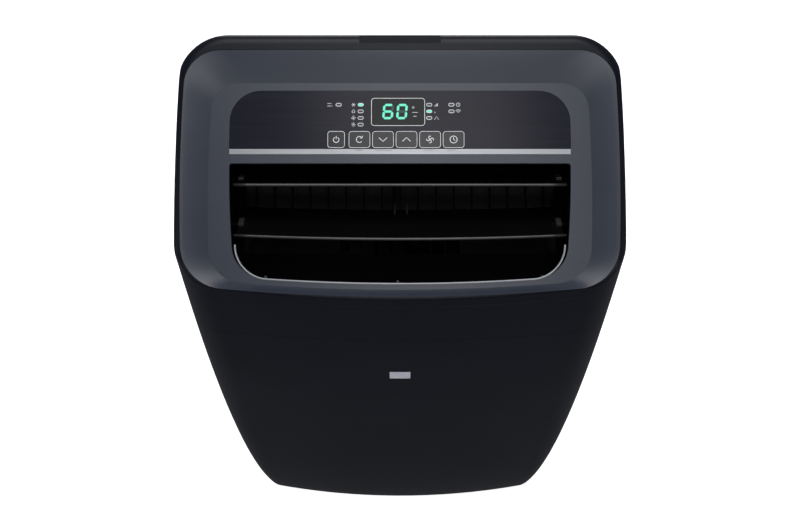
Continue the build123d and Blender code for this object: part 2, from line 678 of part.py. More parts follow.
with BuildPart() as outlet_duct:
    outer_run = (DUCT_REAR - DUCT_WALL, DUCT_FRONT + DUCT_WALL)
    add(deck_box(DUCT_OUTER_X, outer_run, (DUCT_DEPTH, DUCT_DEEP + DUCT_WALL)))
    add(deck_box(DUCT_X, (DUCT_REAR, DUCT_FRONT), (0, DUCT_DEEP)), mode=Mode.SUBTRACT)
    add(deck_box((-NECK_HALF + 3, NECK_HALF - 3), NECK_RUN, (0, REACH)), mode=Mode.SUBTRACT)
    add(deck_box((RIB_X - RIB_THICK / 2, RIB_X + RIB_THICK / 2), (DUCT_REAR - 1, DUCT_FRONT + 1),
                 (DUCT_DEEP - RIB_TALL, DUCT_DEEP + DUCT_WALL)))
    for vane in (UPPER_VANE, LOWER_VANE):
        add(shaft_bar(vane, SHAFT + RUNNING, (-REACH, REACH)), mode=Mode.SUBTRACT)
save(outlet_duct, "outlet_duct")

# ---- vanes, cranks, link and stepper ---------------------------------------------------------------
CRANK_X = -(DUCT_HALF + DUCT_WALL + 0.5 + CRANK_THICK)
LINK_X = CRANK_X - LINK_GAP - CRANK_THICK
VANE_NAMES = ((UPPER_VANE, "upper"), (LOWER_VANE, "lower"))


def vane_outline(vane):
    """A vane's plan: straight or bowed long edges."""
    _, _, chord, _, bow, half = vane
    with BuildSketch(vane_plane(vane)) as outline:
        with BuildLine():
            if bow:
                ThreePointArc((-half, chord / 2 - bow), (0, chord / 2), (half, chord / 2 - bow))
                ThreePointArc((half, -chord / 2 - bow), (0, -chord / 2), (-half, -chord / 2 - bow))
            else:
                Line((-half, chord / 2), (half, chord / 2))
                Line((half, -chord / 2), (-half, -chord / 2))
            Line((half, chord / 2 - bow), (half, -chord / 2 - bow))
            Line((-half, -chord / 2 - bow), (-half, chord / 2 - bow))
        make_face()
    return outline.sketch


for vane, place in VANE_NAMES:
    with BuildPart() as blade:
        extrude(vane_outline(vane), amount=VANE_THICK / 2, both=True)
        long_edges = [edge for edge in blade.edges() if edge.length > vane[5]]
        fillet(long_edges, VANE_EDGE)
        add(shaft_bar(vane, SHAFT, (CRANK_X, VANE_STUB - vane[5])))
        add(shaft_bar(vane, SHAFT, (vane[5] - VANE_STUB, -CRANK_X)))
    save(blade, f"{place}_vane")
    run, depth = vane_pivot(vane)
    with BuildPart() as crank:
        with BuildSketch(across_plane(CRANK_X, run, depth)):
            Circle(CRANK_HUB)
            with Locations((0, CRANK_THROW)):
                Circle(CRANK_EYE)
            with Locations((0, CRANK_THROW / 2)):
                Rectangle(CRANK_ARM, CRANK_THROW)
            Circle(SHAFT + RUNNING / 2, mode=Mode.SUBTRACT)
        extrude(amount=CRANK_THICK)
        with BuildSketch(across_plane(LINK_X - SEAM, run, depth)):
            with Locations((0, CRANK_THROW)):
                Circle(CRANK_PIN)
        extrude(amount=CRANK_X - LINK_X + SEAM + CRANK_THICK / 2)
    save(crank, f"{place}_crank")


def crank_pin_spot(vane):
    """Where a vane's crank pin stands, in the plane across the upper vane's axis."""
    upper_run, upper_depth = vane_pivot(UPPER_VANE)
    run, depth = vane_pivot(vane)
    return upper_run - run, upper_depth - depth + CRANK_THROW


with BuildPart() as vane_link:
    with BuildSketch(across_plane(LINK_X, *vane_pivot(UPPER_VANE))):
        with BuildLine():
            bar = Line(crank_pin_spot(UPPER_VANE), crank_pin_spot(LOWER_VANE))
        SlotCenterPoint(bar @ 0.5, bar @ 0, 2 * CRANK_EYE)
        with Locations(bar @ 0):
            Circle(CRANK_PIN + RUNNING, mode=Mode.SUBTRACT)
        with Locations(bar @ 1):
            Circle(CRANK_PIN + LINK_SLACK, mode=Mode.SUBTRACT)
    extrude(amount=CRANK_THICK)
save(vane_link, "vane_link")

stepper_x = DUCT_HALF + DUCT_WALL + SEAT
with BuildPart() as swing_stepper:
    add(shaft_bar(LOWER_VANE, STEPPER_RADIUS, (stepper_x, stepper_x + STEPPER_LONG)))
    with BuildSketch(across_plane(stepper_x, *vane_pivot(LOWER_VANE))):
        SlotOverall(*STEPPER_EARS[:2])
    extrude(amount=STEPPER_EARS[2])
    add(shaft_bar(LOWER_VANE, SHAFT + RUNNING, (0, -CRANK_X + 1)), mode=Mode.SUBTRACT)
save(swing_stepper, "swing_stepper")

# ---- the two air circuits --------------------------------------------------------------------------
PAN_TOP = GROUND_GAP + PAN_FLOOR + SEAT
SCROLL_RADIUS = WHEEL_RADIUS + SCROLL_GAP
HALF_SCROLL = SCROLL_LONG / 2
NECK_CUT = deck_box((-REACH, REACH), (-REACH, REACH), (DUCT_DEEP + DUCT_WALL + SEAM, 2 * REACH))


def scroll_block(centre_y, centre_z, neck, shrink):
    """Drum of a scroll with its neck box, shrunk on every side."""
    (low_x, low_z), (high_x, high_z) = neck
    start = centre_y - HALF_SCROLL + shrink
    end = centre_y + HALF_SCROLL - shrink
    drum = turned(SCROLL_RADIUS - shrink, start, end, 0, centre_z)
    low = (low_x + shrink, start, low_z + shrink)
    with BuildPart() as block:
        add(drum)
        add(box_between(low, (high_x - shrink, end, high_z - shrink)))
    return block.part


def scroll_feet(centre_y, base, centre_z):
    """Two feet under a scroll's drum."""
    with BuildPart() as feet:
        for x in (-FOOT_X, FOOT_X):
            low = (x - FOOT_HALF, centre_y - HALF_SCROLL, base)
            add(box_between(low, (x + FOOT_HALF, centre_y + HALF_SCROLL, centre_z - INLET_RADIUS - 2.0)))
    return feet.part


blower_neck = ((-NECK_HALF, BLOWER_Z + INLET_RADIUS), (NECK_HALF, REACH))
with BuildPart() as blower_scroll:
    add(scroll_feet(BLOWER_Y, PARTITION_Z + PARTITION_THICK + SEAT, BLOWER_Z))
    add(scroll_block(BLOWER_Y, BLOWER_Z, blower_neck, 0))
    add(scroll_block(BLOWER_Y, BLOWER_Z, blower_neck, SCROLL_WALL), mode=Mode.SUBTRACT)
    add(turned(INLET_RADIUS, BLOWER_Y, BLOWER_Y + SCROLL_LONG, 0, BLOWER_Z), mode=Mode.SUBTRACT)
    add(turned(WHEEL_SHAFT + 3, BLOWER_Y - SCROLL_LONG, BLOWER_Y, 0, BLOWER_Z), mode=Mode.SUBTRACT)
    add(NECK_CUT, mode=Mode.INTERSECT)
save(blower_scroll, "blower_scroll")

exhaust_neck = ((-EXHAUST_HALF, FAN_Z), (EXHAUST_HALF, EXHAUST_TOP))
with BuildPart() as condenser_scroll:
    add(scroll_feet(FAN_Y, PAN_TOP, FAN_Z))
    add(scroll_block(FAN_Y, FAN_Z, exhaust_neck, 0))
    add(scroll_block(FAN_Y, FAN_Z, exhaust_neck, SCROLL_WALL), mode=Mode.SUBTRACT)
    add(turned(INLET_RADIUS, FAN_Y, FAN_Y + SCROLL_LONG, 0, FAN_Z), mode=Mode.SUBTRACT)
    add(turned(COLLAR_BORE, FAN_Y, FAN_Y + SCROLL_LONG, 0, COLLAR_Z), mode=Mode.SUBTRACT)
    add(turned(WHEEL_SHAFT + 3, FAN_Y - SCROLL_LONG, FAN_Y, 0, FAN_Z), mode=Mode.SUBTRACT)
save(condenser_scroll, "condenser_scroll")

RING_BORE = INLET_RADIUS + 2.0
for label, wheel_y, wheel_z in (("blower", BLOWER_Y, BLOWER_Z), ("condenser", FAN_Y, FAN_Z)):
    start = wheel_y - WHEEL_LONG / 2
    end = wheel_y + WHEEL_LONG / 2
    motor_face = wheel_y - HALF_SCROLL - SEAT
    with BuildPart() as wheel:
        add(turned(WHEEL_RADIUS, start, start + WHEEL_DISC, 0, wheel_z))
        add(turned(WHEEL_HUB, start, wheel_y, 0, wheel_z))
        add(turned(WHEEL_RADIUS, end - WHEEL_DISC, end, 0, wheel_z, bore=RING_BORE))
        with BuildSketch(Plane.XZ.offset(WHEEL_DISC / 2 - end)):
            with Locations((0, wheel_z)):
                with PolarLocations((WHEEL_RADIUS + RING_BORE) / 2, WHEEL_BLADES):
                    Rectangle(*BLADE, rotation=BLADE_ANGLE)
        extrude(amount=WHEEL_LONG - WHEEL_DISC)
        add(turned(WHEEL_SHAFT, motor_face - SHAFT_GRIP, start + WHEEL_DISC / 2, 0, wheel_z))
    save(wheel, f"{label}_wheel")
    with BuildPart() as motor:
        add(turned(MOTOR_RADIUS, motor_face - MOTOR_LONG, motor_face, 0, wheel_z))
        fillet(motor.edges().filter_by(GeomType.CIRCLE).group_by(Axis.Y)[0], MOTOR_ROUND)
        add(turned(MOTOR_FLANGE[0], motor_face - MOTOR_FLANGE[1], motor_face, 0, wheel_z))
        bore = turned(WHEEL_SHAFT + RUNNING, motor_face - SHAFT_GRIP - 1.0, motor_face + 1.0, 0, wheel_z)
        add(bore, mode=Mode.SUBTRACT)
    save(motor, f"{label}_motor")

with BuildPart() as partition_plate:
    add(envelope(WALL + SEAM))
    top = (REACH, FAN_Y - HALF_SCROLL - 3, PARTITION_Z + PARTITION_THICK)
    add(box_between((-REACH, -REACH, PARTITION_Z), top), mode=Mode.INTERSECT)
save(partition_plate, "partition_plate")

with BuildPart() as exhaust_collar:
    add(turned(COLLAR_BORE + COLLAR_WALL, FAN_Y + HALF_SCROLL + SEAT, DEPTH / 2, 0, COLLAR_Z))
    add(turned(COLLAR_FLANGE, BACK_Y + SEAT, BACK_Y + SEAT + COLLAR_FLANGE_THICK, 0, COLLAR_Z))
    add(turned(COLLAR_BORE, 0, REACH, 0, COLLAR_Z), mode=Mode.SUBTRACT)
    for x, z in COLLAR_SCREWS:
        add(turned(SCREW_RADIUS + SCREW_PLAY, 0, REACH, x, z), mode=Mode.SUBTRACT)
save(exhaust_collar, "exhaust_collar")

# ---- coils, tray and filters -----------------------------------------------------------------------
EVAPORATOR_IN = 18.0
EVAPORATOR_FALL = (44.0, SLOPE_FALL - 17.8)
TRAY_FLOOR = 3.0
TRAY_Z = EXHAUST_TOP + SEAT
TRAY_Y = (BACK_Y - 103.0, BACK_Y - WALL - 4.0)
TRAY_TALL = 16.0
TRAY_HALF = COIL_HALF + 16.0
TRAY_WALL = 2.0
PLATE = 2.0
PLATE_LIP = 4.0
BEND_PITCH = 25.0
BEND_REACH = 12.0
BEND_THICK = 8.0

EVAPORATOR_BENDS = int((EVAPORATOR_FALL[1] - EVAPORATOR_FALL[0] - BEND_PITCH) // (2 * BEND_PITCH))

with BuildPart() as evaporator:
    add(slope_box((-COIL_HALF, COIL_HALF), EVAPORATOR_FALL, (EVAPORATOR_IN, EVAPORATOR_IN + COIL_THICK)))
    for x in (-COIL_HALF, COIL_HALF):
        add(slope_box((x - PLATE, x + PLATE), (EVAPORATOR_FALL[0] - PLATE_LIP, REACH),
                      (EVAPORATOR_IN - PLATE, EVAPORATOR_IN + COIL_THICK + PLATE)))
    inside_tray = (REACH, TRAY_Y[1] - TRAY_WALL - SEAM, REACH)
    add(box_between((-REACH, -REACH, TRAY_Z + TRAY_FLOOR + SEAT), inside_tray), mode=Mode.INTERSECT)
    bend_x = (COIL_HALF, COIL_HALF + BEND_REACH)
    bend_in = EVAPORATOR_IN + (COIL_THICK - BEND_THICK) / 2
    for i in range(EVAPORATOR_BENDS):
        fall = EVAPORATOR_FALL[0] + BEND_PITCH * (1.2 + 2 * i)
        add(slope_box(bend_x, (fall, fall + BEND_PITCH), (bend_in, bend_in + BEND_THICK)))
save(evaporator, "evaporator")

with BuildPart() as drip_tray:
    add(box_between((-TRAY_HALF, TRAY_Y[0], TRAY_Z), (TRAY_HALF, TRAY_Y[1], TRAY_Z + TRAY_TALL)))
    inner_half = TRAY_HALF - TRAY_WALL
    inner_low = (-inner_half, TRAY_Y[0] + TRAY_WALL, TRAY_Z + TRAY_FLOOR)
    add(box_between(inner_low, (inner_half, TRAY_Y[1] - TRAY_WALL, REACH)), mode=Mode.SUBTRACT)
save(drip_tray, "drip_tray")

CONDENSER_Y = (FAN_Y + HALF_SCROLL + 8.0, FAN_Y + HALF_SCROLL + 8.0 + COIL_THICK)
CONDENSER_Z = (POCKET_TOP + FORK_WALL + SEAT, COLLAR_Z - COLLAR_FLANGE + 1.0)
CONDENSER_HALF = COIL_HALF - BEND_REACH + PLATE
CONDENSER_BENDS = int((CONDENSER_Z[1] - CONDENSER_Z[0] - BEND_PITCH) // (2 * BEND_PITCH))
with BuildPart() as condenser:
    coil_low = (-CONDENSER_HALF, CONDENSER_Y[0], CONDENSER_Z[0])
    add(box_between(coil_low, (CONDENSER_HALF, CONDENSER_Y[1], CONDENSER_Z[1])))
    for x in (-CONDENSER_HALF, CONDENSER_HALF):
        plate_low = (x - PLATE, CONDENSER_Y[0] - PLATE, CONDENSER_Z[0])
        add(box_between(plate_low, (x + PLATE, CONDENSER_Y[1] + PLATE, CONDENSER_Z[1] + PLATE_LIP)))
    bend_y = CONDENSER_Y[0] + (COIL_THICK - BEND_THICK) / 2
    for i in range(CONDENSER_BENDS):
        low_z = CONDENSER_Z[0] + BEND_PITCH * (1 + 2 * i)
        bend_low = (-COIL_HALF, bend_y, low_z)
        add(box_between(bend_low, (-CONDENSER_HALF, bend_y + BEND_THICK, low_z + BEND_PITCH)))
save(condenser, "condenser")


def slot_rows(low, high, half, columns):
    """Centres and sizes of the grille slots between two heights."""
    count = int((high - low - 2 * SLOT_PITCH) // SLOT_PITCH)
    first = (low + high) / 2 - (count - 1) * SLOT_PITCH / 2
    pitch = 2 * half / columns
    xs = [-half + pitch * (i + 0.5) for i in range(columns)]
    return [(x, first + row * SLOT_PITCH) for x in xs for row in range(count)], pitch - SLOT_BRIDGE


def grille_plate(plane, half, span):
    """A louvred plate in a frame, drawn on its outer plane."""
    with BuildPart() as plate:
        with BuildSketch(plane):
            with Locations((0, (span[0] + span[1]) / 2)):
                RectangleRounded(2 * half, span[1] - span[0], GRILLE_CORNER)
            spots, slot_long = slot_rows(span[0], span[1], half - GRILLE_BORDER, GRILLE_COLUMNS)
            with Locations(*spots):
                SlotOverall(slot_long, SLOT, mode=Mode.SUBTRACT)
        extrude(amount=-GRILLE_THICK)
    return plate.part


def filter_frame(plane, half, span):
    """A filter's frame with cross bars and a thin net between them."""
    with BuildPart() as frame:
        with BuildSketch(plane):
            with Locations((0, (span[0] + span[1]) / 2)):
                Rectangle(2 * half, span[1] - span[0])
        extrude(amount=-FILTER_THICK)
        with BuildSketch(plane):
            with Locations((0, (span[0] + span[1]) / 2)):
                with GridLocations(half / 2, (span[1] - span[0]) / 3, 4, 3):
                    Rectangle(half / 2 - FILTER_BAR, (span[1] - span[0]) / 3 - FILTER_BAR)
        extrude(amount=FILTER_WEB - FILTER_THICK, mode=Mode.SUBTRACT)
    return frame.part


BACK_PLANE = Plane(origin=(0, BACK_Y, 0), x_dir=(-1, 0, 0), z_dir=(0, 1, 0))
INTAKES = (
    ("upper", SLOPE, UPPER_INTAKE_HALF, UPPER_INTAKE),
    ("lower", BACK_PLANE, LOWER_INTAKE_HALF, LOWER_INTAKE),
)
for place, plane, half, span in INTAKES:
    clear_span = (span[0] + SEAM, span[1] - SEAM)
    with BuildPart() as grille:
        add(grille_plate(plane, half - SEAM, clear_span))
    save(grille, f"{place}_intake_grille")
    with BuildPart() as net:
        net_span = (span[0] + FILTER_INSET, span[1] - FILTER_INSET)
        add(filter_frame(plane.offset(-GRILLE_THICK - SEAT), half - FILTER_INSET, net_span))
    save(net, f"{place}_filter")

# ---- base, compressor and electrics ----------------------------------------------------------------
POCKET_OUTER = POCKET_RADIUS + FORK_WALL


def stem_hole(spot):
    """The bore in which a caster's stem turns."""
    with BuildPart() as hole:
        with BuildSketch(Plane.XY.offset(POCKET_TOP - 1)):
            with Locations(spot):
                Circle(CASTER_STEM + RUNNING)
        extrude(amount=FORK_WALL + 2)
    return hole.part


def pocket(spot, radius, top):
    """A round pocket over a caster."""
    with BuildPart() as drum:
        with BuildSketch(Plane.XY.offset(GROUND_GAP)):
            with Locations(spot):
                Circle(radius)
        extrude(amount=top - GROUND_GAP)
    return drum.part


pan_outer = envelope(WALL + FIT)
pan_inner = envelope(WALL + FIT + PAN_WALL)
with BuildPart() as base_pan:
    add(pan_outer)
    add(pan_inner, mode=Mode.SUBTRACT)
    pan_zone = box_between((-REACH, -REACH, GROUND_GAP), (REACH, REACH, GROUND_GAP + PAN_HEIGHT))
    add(pan_zone, mode=Mode.INTERSECT)
    with BuildSketch(Plane.XY.offset(GROUND_GAP)):
        add(body_section((GROUND_GAP,) + BODY_ROWS[0][1:], WALL + FIT + 1))
    extrude(amount=PAN_FLOOR)
    for spot in CASTER_SPOTS.values():
        add(pocket(spot, POCKET_OUTER, POCKET_TOP + FORK_WALL))
    for spot in CASTER_SPOTS.values():
        add(pocket(spot, POCKET_RADIUS, POCKET_TOP), mode=Mode.SUBTRACT)
        add(stem_hole(spot), mode=Mode.SUBTRACT)
    add(spout_hole, mode=Mode.SUBTRACT)
    for x, z in CASING_SCREWS:
        add(turned(SCREW_RADIUS + SCREW_PLAY, 0, REACH, x, z), mode=Mode.SUBTRACT)
save(base_pan, "base_pan")

COMPRESSOR_X, COMPRESSOR_Y = COMPRESSOR_SPOT
PLATE_Z = PAN_TOP + MOUNT_TALL
COMPRESSOR_TALL = PARTITION_Z - COMPRESSOR_ROOM - PLATE_Z
foot_spots = [(COMPRESSOR_X + MOUNT_RING * cos(radians(a)), COMPRESSOR_Y + MOUNT_RING * sin(radians(a)))
              for a in MOUNT_ANGLES]
with BuildPart() as compressor_mounts:
    with BuildSketch(Plane.XY.offset(PAN_TOP)):
        with Locations(*foot_spots):
            Circle(MOUNT_RADIUS)
    extrude(amount=MOUNT_TALL)
    fillet(compressor_mounts.edges().filter_by(GeomType.CIRCLE), 1.5)
save(compressor_mounts, "compressor_mounts")

with BuildPart() as compressor:
    with BuildSketch(Plane.XY.offset(PLATE_Z)):
        with Locations(COMPRESSOR_SPOT):
            Circle(MOUNT_RING + MOUNT_RADIUS - 1.0)
    extrude(amount=PLATE_THICK)
    with BuildSketch(Plane.XY.offset(PLATE_Z)):
        with Locations(COMPRESSOR_SPOT):
            Circle(COMPRESSOR_RADIUS)
    extrude(amount=COMPRESSOR_TALL)
    fillet(compressor.edges().filter_by(GeomType.CIRCLE).group_by(Axis.Z)[-1], COMPRESSOR_DOME)
    tank_x = COMPRESSOR_X - COMPRESSOR_RADIUS - TANK_GAP - TANK_RADIUS
    with BuildSketch(Plane.XY.offset(PLATE_Z + TANK_RISE)):
        with Locations((tank_x, COMPRESSOR_Y)):
            Circle(TANK_RADIUS)
        with Locations((tank_x + TANK_RADIUS, COMPRESSOR_Y)):
            Rectangle(TANK_RADIUS + 2 * TANK_GAP, 2 * PIPE)
    extrude(amount=TANK_TALL)
save(compressor, "compressor")

DISCHARGE_Z = PLATE_Z + COMPRESSOR_TALL
PIPE_TOP = DISCHARGE_Z + 2.5 * PIPE_BEND
PIPE_X = -COIL_HALF - 14.0
PIPE_Y = CONDENSER_Y[0] + COIL_THICK / 2 - PIPE_BEND
PIPE_END_Z = CONDENSER_Z[1] - 7 * PIPE_BEND
with BuildPart() as refrigerant_pipes:
    with BuildLine():
        FilletPolyline(
            (COMPRESSOR_X, COMPRESSOR_Y, DISCHARGE_Z + SEAT),
            (COMPRESSOR_X, COMPRESSOR_Y, PIPE_TOP),
            (PIPE_X, COMPRESSOR_Y + 3 * PIPE_BEND, PIPE_TOP),
            (PIPE_X, PIPE_Y, PIPE_TOP),
            (PIPE_X, PIPE_Y, PIPE_END_Z),
            (-CONDENSER_HALF - PLATE - SEAT, PIPE_Y, PIPE_END_Z),
            radius=PIPE_BEND,
        )
    with BuildSketch(Plane.XY.offset(DISCHARGE_Z + SEAT)):
        with Locations(COMPRESSOR_SPOT):
            Circle(PIPE)
    sweep()
save(refrigerant_pipes, "refrigerant_pipes")

BOX_X = (WIDTH / 2 - 185.0, WIDTH / 2 - 61.0)
BOX_Y = (FRONT_Y + 60.0, FRONT_Y + 152.0)
BOX_Z = (POCKET_TOP + FORK_WALL + SEAT, PARTITION_Z - 104.0)
BOX_CORNER = 4.0
with BuildPart() as control_box:
    add(box_between((BOX_X[0], BOX_Y[0], BOX_Z[0]), (BOX_X[1], BOX_Y[1], BOX_Z[1])))
    fillet(control_box.edges().filter_by(Axis.Z), BOX_CORNER)
    inner_low = (BOX_X[0] + BOX_LID, BOX_Y[0] + BOX_LID, BOX_Z[0] + BOX_LID)
    inner_high = (BOX_X[1] - BOX_LID, BOX_Y[1] - BOX_LID, BOX_Z[1] - BOX_LID)
    add(box_between(inner_low, inner_high), mode=Mode.SUBTRACT)
save(control_box, "control_box")

# ---- small parts on the back -----------------------------------------------------------------------
with BuildPart() as cord_gland:
    gland_end = BACK_Y + SEAT + GLAND_PROUD
    add(turned(GLAND_RADIUS, BACK_Y + SEAT, gland_end, GLAND_X, GLAND_Z))
    add(turned(GLAND_RADIUS - GLAND_LIP, BACK_Y - WALL - GLAND_TAIL, gland_end, GLAND_X, GLAND_Z))
    add(turned(GLAND_BORE, 0, REACH, GLAND_X, GLAND_Z), mode=Mode.SUBTRACT)
save(cord_gland, "cord_gland")

SPOUT_END = BACK_Y + SPOUT_PROUD
PAN_FACE = BACK_Y - WALL - FIT - PAN_WALL
with BuildPart() as drain_spout:
    add(turned(SPOUT_RADIUS, PAN_FACE - 2 * SPOUT_FLANGE, SPOUT_END, SPOUT_X, SPOUT_Z, bore=SPOUT_BORE))
    add(turned(SPOUT_RADIUS + SPOUT_FLANGE, PAN_FACE - SEAT / 2 - SPOUT_FLANGE, PAN_FACE - SEAT / 2,
               SPOUT_X, SPOUT_Z, bore=SPOUT_BORE))
save(drain_spout, "drain_spout")

with BuildPart() as drain_cap:
    add(turned(CAP_RADIUS, BACK_Y + CAP_THICK / 3, SPOUT_END + CAP_THICK, SPOUT_X, SPOUT_Z))
    fillet(drain_cap.edges().filter_by(GeomType.CIRCLE).group_by(Axis.Y)[-1], CAP_THICK / 2)
    add(turned(SPOUT_RADIUS + RUNNING, BACK_Y, SPOUT_END + SEAT, SPOUT_X, SPOUT_Z), mode=Mode.SUBTRACT)
save(drain_cap, "drain_cap")

with BuildPart() as case_screws:
    collar_seat = BACK_Y + SEAT + COLLAR_FLANGE_THICK
    for spots, seat in ((COLLAR_SCREWS, collar_seat), (CASING_SCREWS, BACK_Y)):
        for x, z in spots:
            add(turned(SCREW_HEAD, seat, seat + SCREW_HEAD_THICK, x, z))
            add(turned(SCREW_RADIUS, seat - SCREW_LONG, seat, x, z))
save(case_screws, "case_screws")

# ---- casters ---------------------------------------------------------------------------------------
FORK_TOP = POCKET_TOP - FORK_GAP
FORK_HALF = CASTER_WIDE / 2 + FORK_GAP + FORK_WALL
FORK_REAR = 12.0
FORK_FRONT = 15.0
for place, (stem_x, stem_y) in CASTER_SPOTS.items():
    axle_y = stem_y + CASTER_TRAIL
    with BuildPart() as fork:
        with BuildSketch(Plane.XY.offset(FORK_TOP)):
            with Locations((stem_x, stem_y)):
                Circle(FORK_CROWN[0])
        extrude(amount=-FORK_CROWN[1])
        for side in (-1, 1):
            with BuildSketch(Plane.YZ.offset(stem_x + side * FORK_HALF)):
                with BuildLine():
                    Polyline((stem_y - FORK_REAR, FORK_TOP), (stem_y + FORK_FRONT, FORK_TOP),
                             (axle_y + FORK_FOOT, CASTER_RADIUS), (axle_y, CASTER_RADIUS - FORK_FOOT),
                             (axle_y - FORK_FOOT, CASTER_RADIUS), close=True)
                make_face()
            extrude(amount=-side * FORK_WALL)
        with BuildSketch(Plane.YZ.offset(stem_x - FORK_HALF)):
            with Locations((axle_y, CASTER_RADIUS)):
                Circle(CASTER_AXLE)
        extrude(amount=2 * FORK_HALF)
        with BuildSketch(Plane.XY.offset(FORK_TOP)):
            with Locations((stem_x, stem_y)):
                Circle(CASTER_STEM)
        extrude(amount=FORK_GAP + FORK_WALL)
    save(fork, f"caster_fork_{place}")
    with BuildPart() as caster_wheel:
        with BuildSketch(Plane.YZ.offset(stem_x - CASTER_WIDE / 2)):
            with Locations((axle_y, CASTER_RADIUS)):
                Circle(CASTER_RADIUS)
                Circle(CASTER_AXLE + RUNNING, mode=Mode.SUBTRACT)
        extrude(amount=CASTER_WIDE)
        outer = caster_wheel.edges().filter_by(GeomType.CIRCLE).sort_by(SortBy.RADIUS)[-2:]
        fillet(outer, WHEEL_ROUND)
    save(caster_wheel, f"caster_wheel_{place}")
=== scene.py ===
# %% [markdown]
# # A portable air conditioner, finished for the eye
#
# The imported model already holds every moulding, key, vane and caster at its real size. This lesson
# keeps those shapes and gives them what they lack: finishes with grain and gloss, printed marks, the
# lit display, clips on the vanes, fins and nets behind the grilles, a floor, light and a camera.
#
# Everything is in metres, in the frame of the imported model: +Z up, the front towards -Y.

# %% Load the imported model
import json
from math import atan2, cos, pi, radians, sin, sqrt

import bmesh
import bpy
from mathutils import Matrix, Vector


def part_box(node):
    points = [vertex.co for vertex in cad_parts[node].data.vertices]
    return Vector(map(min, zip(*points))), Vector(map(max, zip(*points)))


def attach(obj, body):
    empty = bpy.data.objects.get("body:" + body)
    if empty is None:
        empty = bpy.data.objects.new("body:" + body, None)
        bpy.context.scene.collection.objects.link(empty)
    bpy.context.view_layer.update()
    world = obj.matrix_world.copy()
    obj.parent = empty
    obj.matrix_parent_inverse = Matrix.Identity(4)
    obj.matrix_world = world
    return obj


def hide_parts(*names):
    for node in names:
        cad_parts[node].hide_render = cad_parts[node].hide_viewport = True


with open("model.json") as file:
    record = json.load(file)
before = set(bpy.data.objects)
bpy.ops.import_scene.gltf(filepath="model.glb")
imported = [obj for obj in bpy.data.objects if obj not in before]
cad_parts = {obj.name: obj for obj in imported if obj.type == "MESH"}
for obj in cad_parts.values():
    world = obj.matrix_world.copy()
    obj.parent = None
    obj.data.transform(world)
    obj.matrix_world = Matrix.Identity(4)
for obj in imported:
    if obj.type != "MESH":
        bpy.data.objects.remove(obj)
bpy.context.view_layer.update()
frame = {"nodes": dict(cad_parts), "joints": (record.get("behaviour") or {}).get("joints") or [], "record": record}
MM = 0.001

# %% [markdown]
# ## The deck's own frame
#
# Keys, lights, display and outlet all lie on a deck tilted towards the user. It is easiest to draw on
# it as on paper: X across, and a run counted down the slope. The tilt comes from the way the keys
# travel, and the place from the glass panel's box.

# %% Turn a bmesh into a piece
def as_piece(name, shape):
    """Write a bmesh to a new mesh, free it, and link an object that holds it."""
    mesh = bpy.data.meshes.new(name)
    shape.to_mesh(mesh)
    shape.free()
    piece = bpy.data.objects.new(name, mesh)
    bpy.context.scene.collection.objects.link(piece)
    return piece


# %% A frame for drawing on the deck
JOINTS = {joint["name"]: joint for joint in frame["joints"]}
INTO_DECK = Vector(JOINTS["power_press"]["axis"]).normalized()
OUT_OF_DECK = -INTO_DECK
DOWN_DECK = Vector((1, 0, 0)).cross(INTO_DECK).normalized()
if DOWN_DECK.z > 0:
    DOWN_DECK = -DOWN_DECK
GLASS_THICK = 2.2
GLASS_REAR_RUN = 64.6
glass_low, glass_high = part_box("control_glass")
glass_rear = Vector((0, glass_high.y - GLASS_THICK * MM * INTO_DECK.y, glass_high.z))
DECK_START = glass_rear - DOWN_DECK * GLASS_REAR_RUN * MM
GLASS_HALF = (glass_high.x - glass_low.x) / 2 / MM


def deck(x, run, lift=0.0):
    """A point on the glass's face: across, down the slope and above the face, all in millimetres."""
    return DECK_START + Vector((x * MM, 0, 0)) + DOWN_DECK * run * MM + OUT_OF_DECK * lift * MM


print("deck tilt:", round(atan2(-OUT_OF_DECK.y, OUT_OF_DECK.z) * 180 / pi, 2), "degrees")

# %% [markdown]
# ## Finishes
#
# Moulded plastic is never one flat colour. A fine spark-eroded grain breaks up the gloss, the colour
# drifts a little over a large moulding, and handling polishes some places. One helper lays those three
# down, and each finish chooses its own colours, grain size and gloss.

# %% A helper for moulded finishes
FINISH = {}


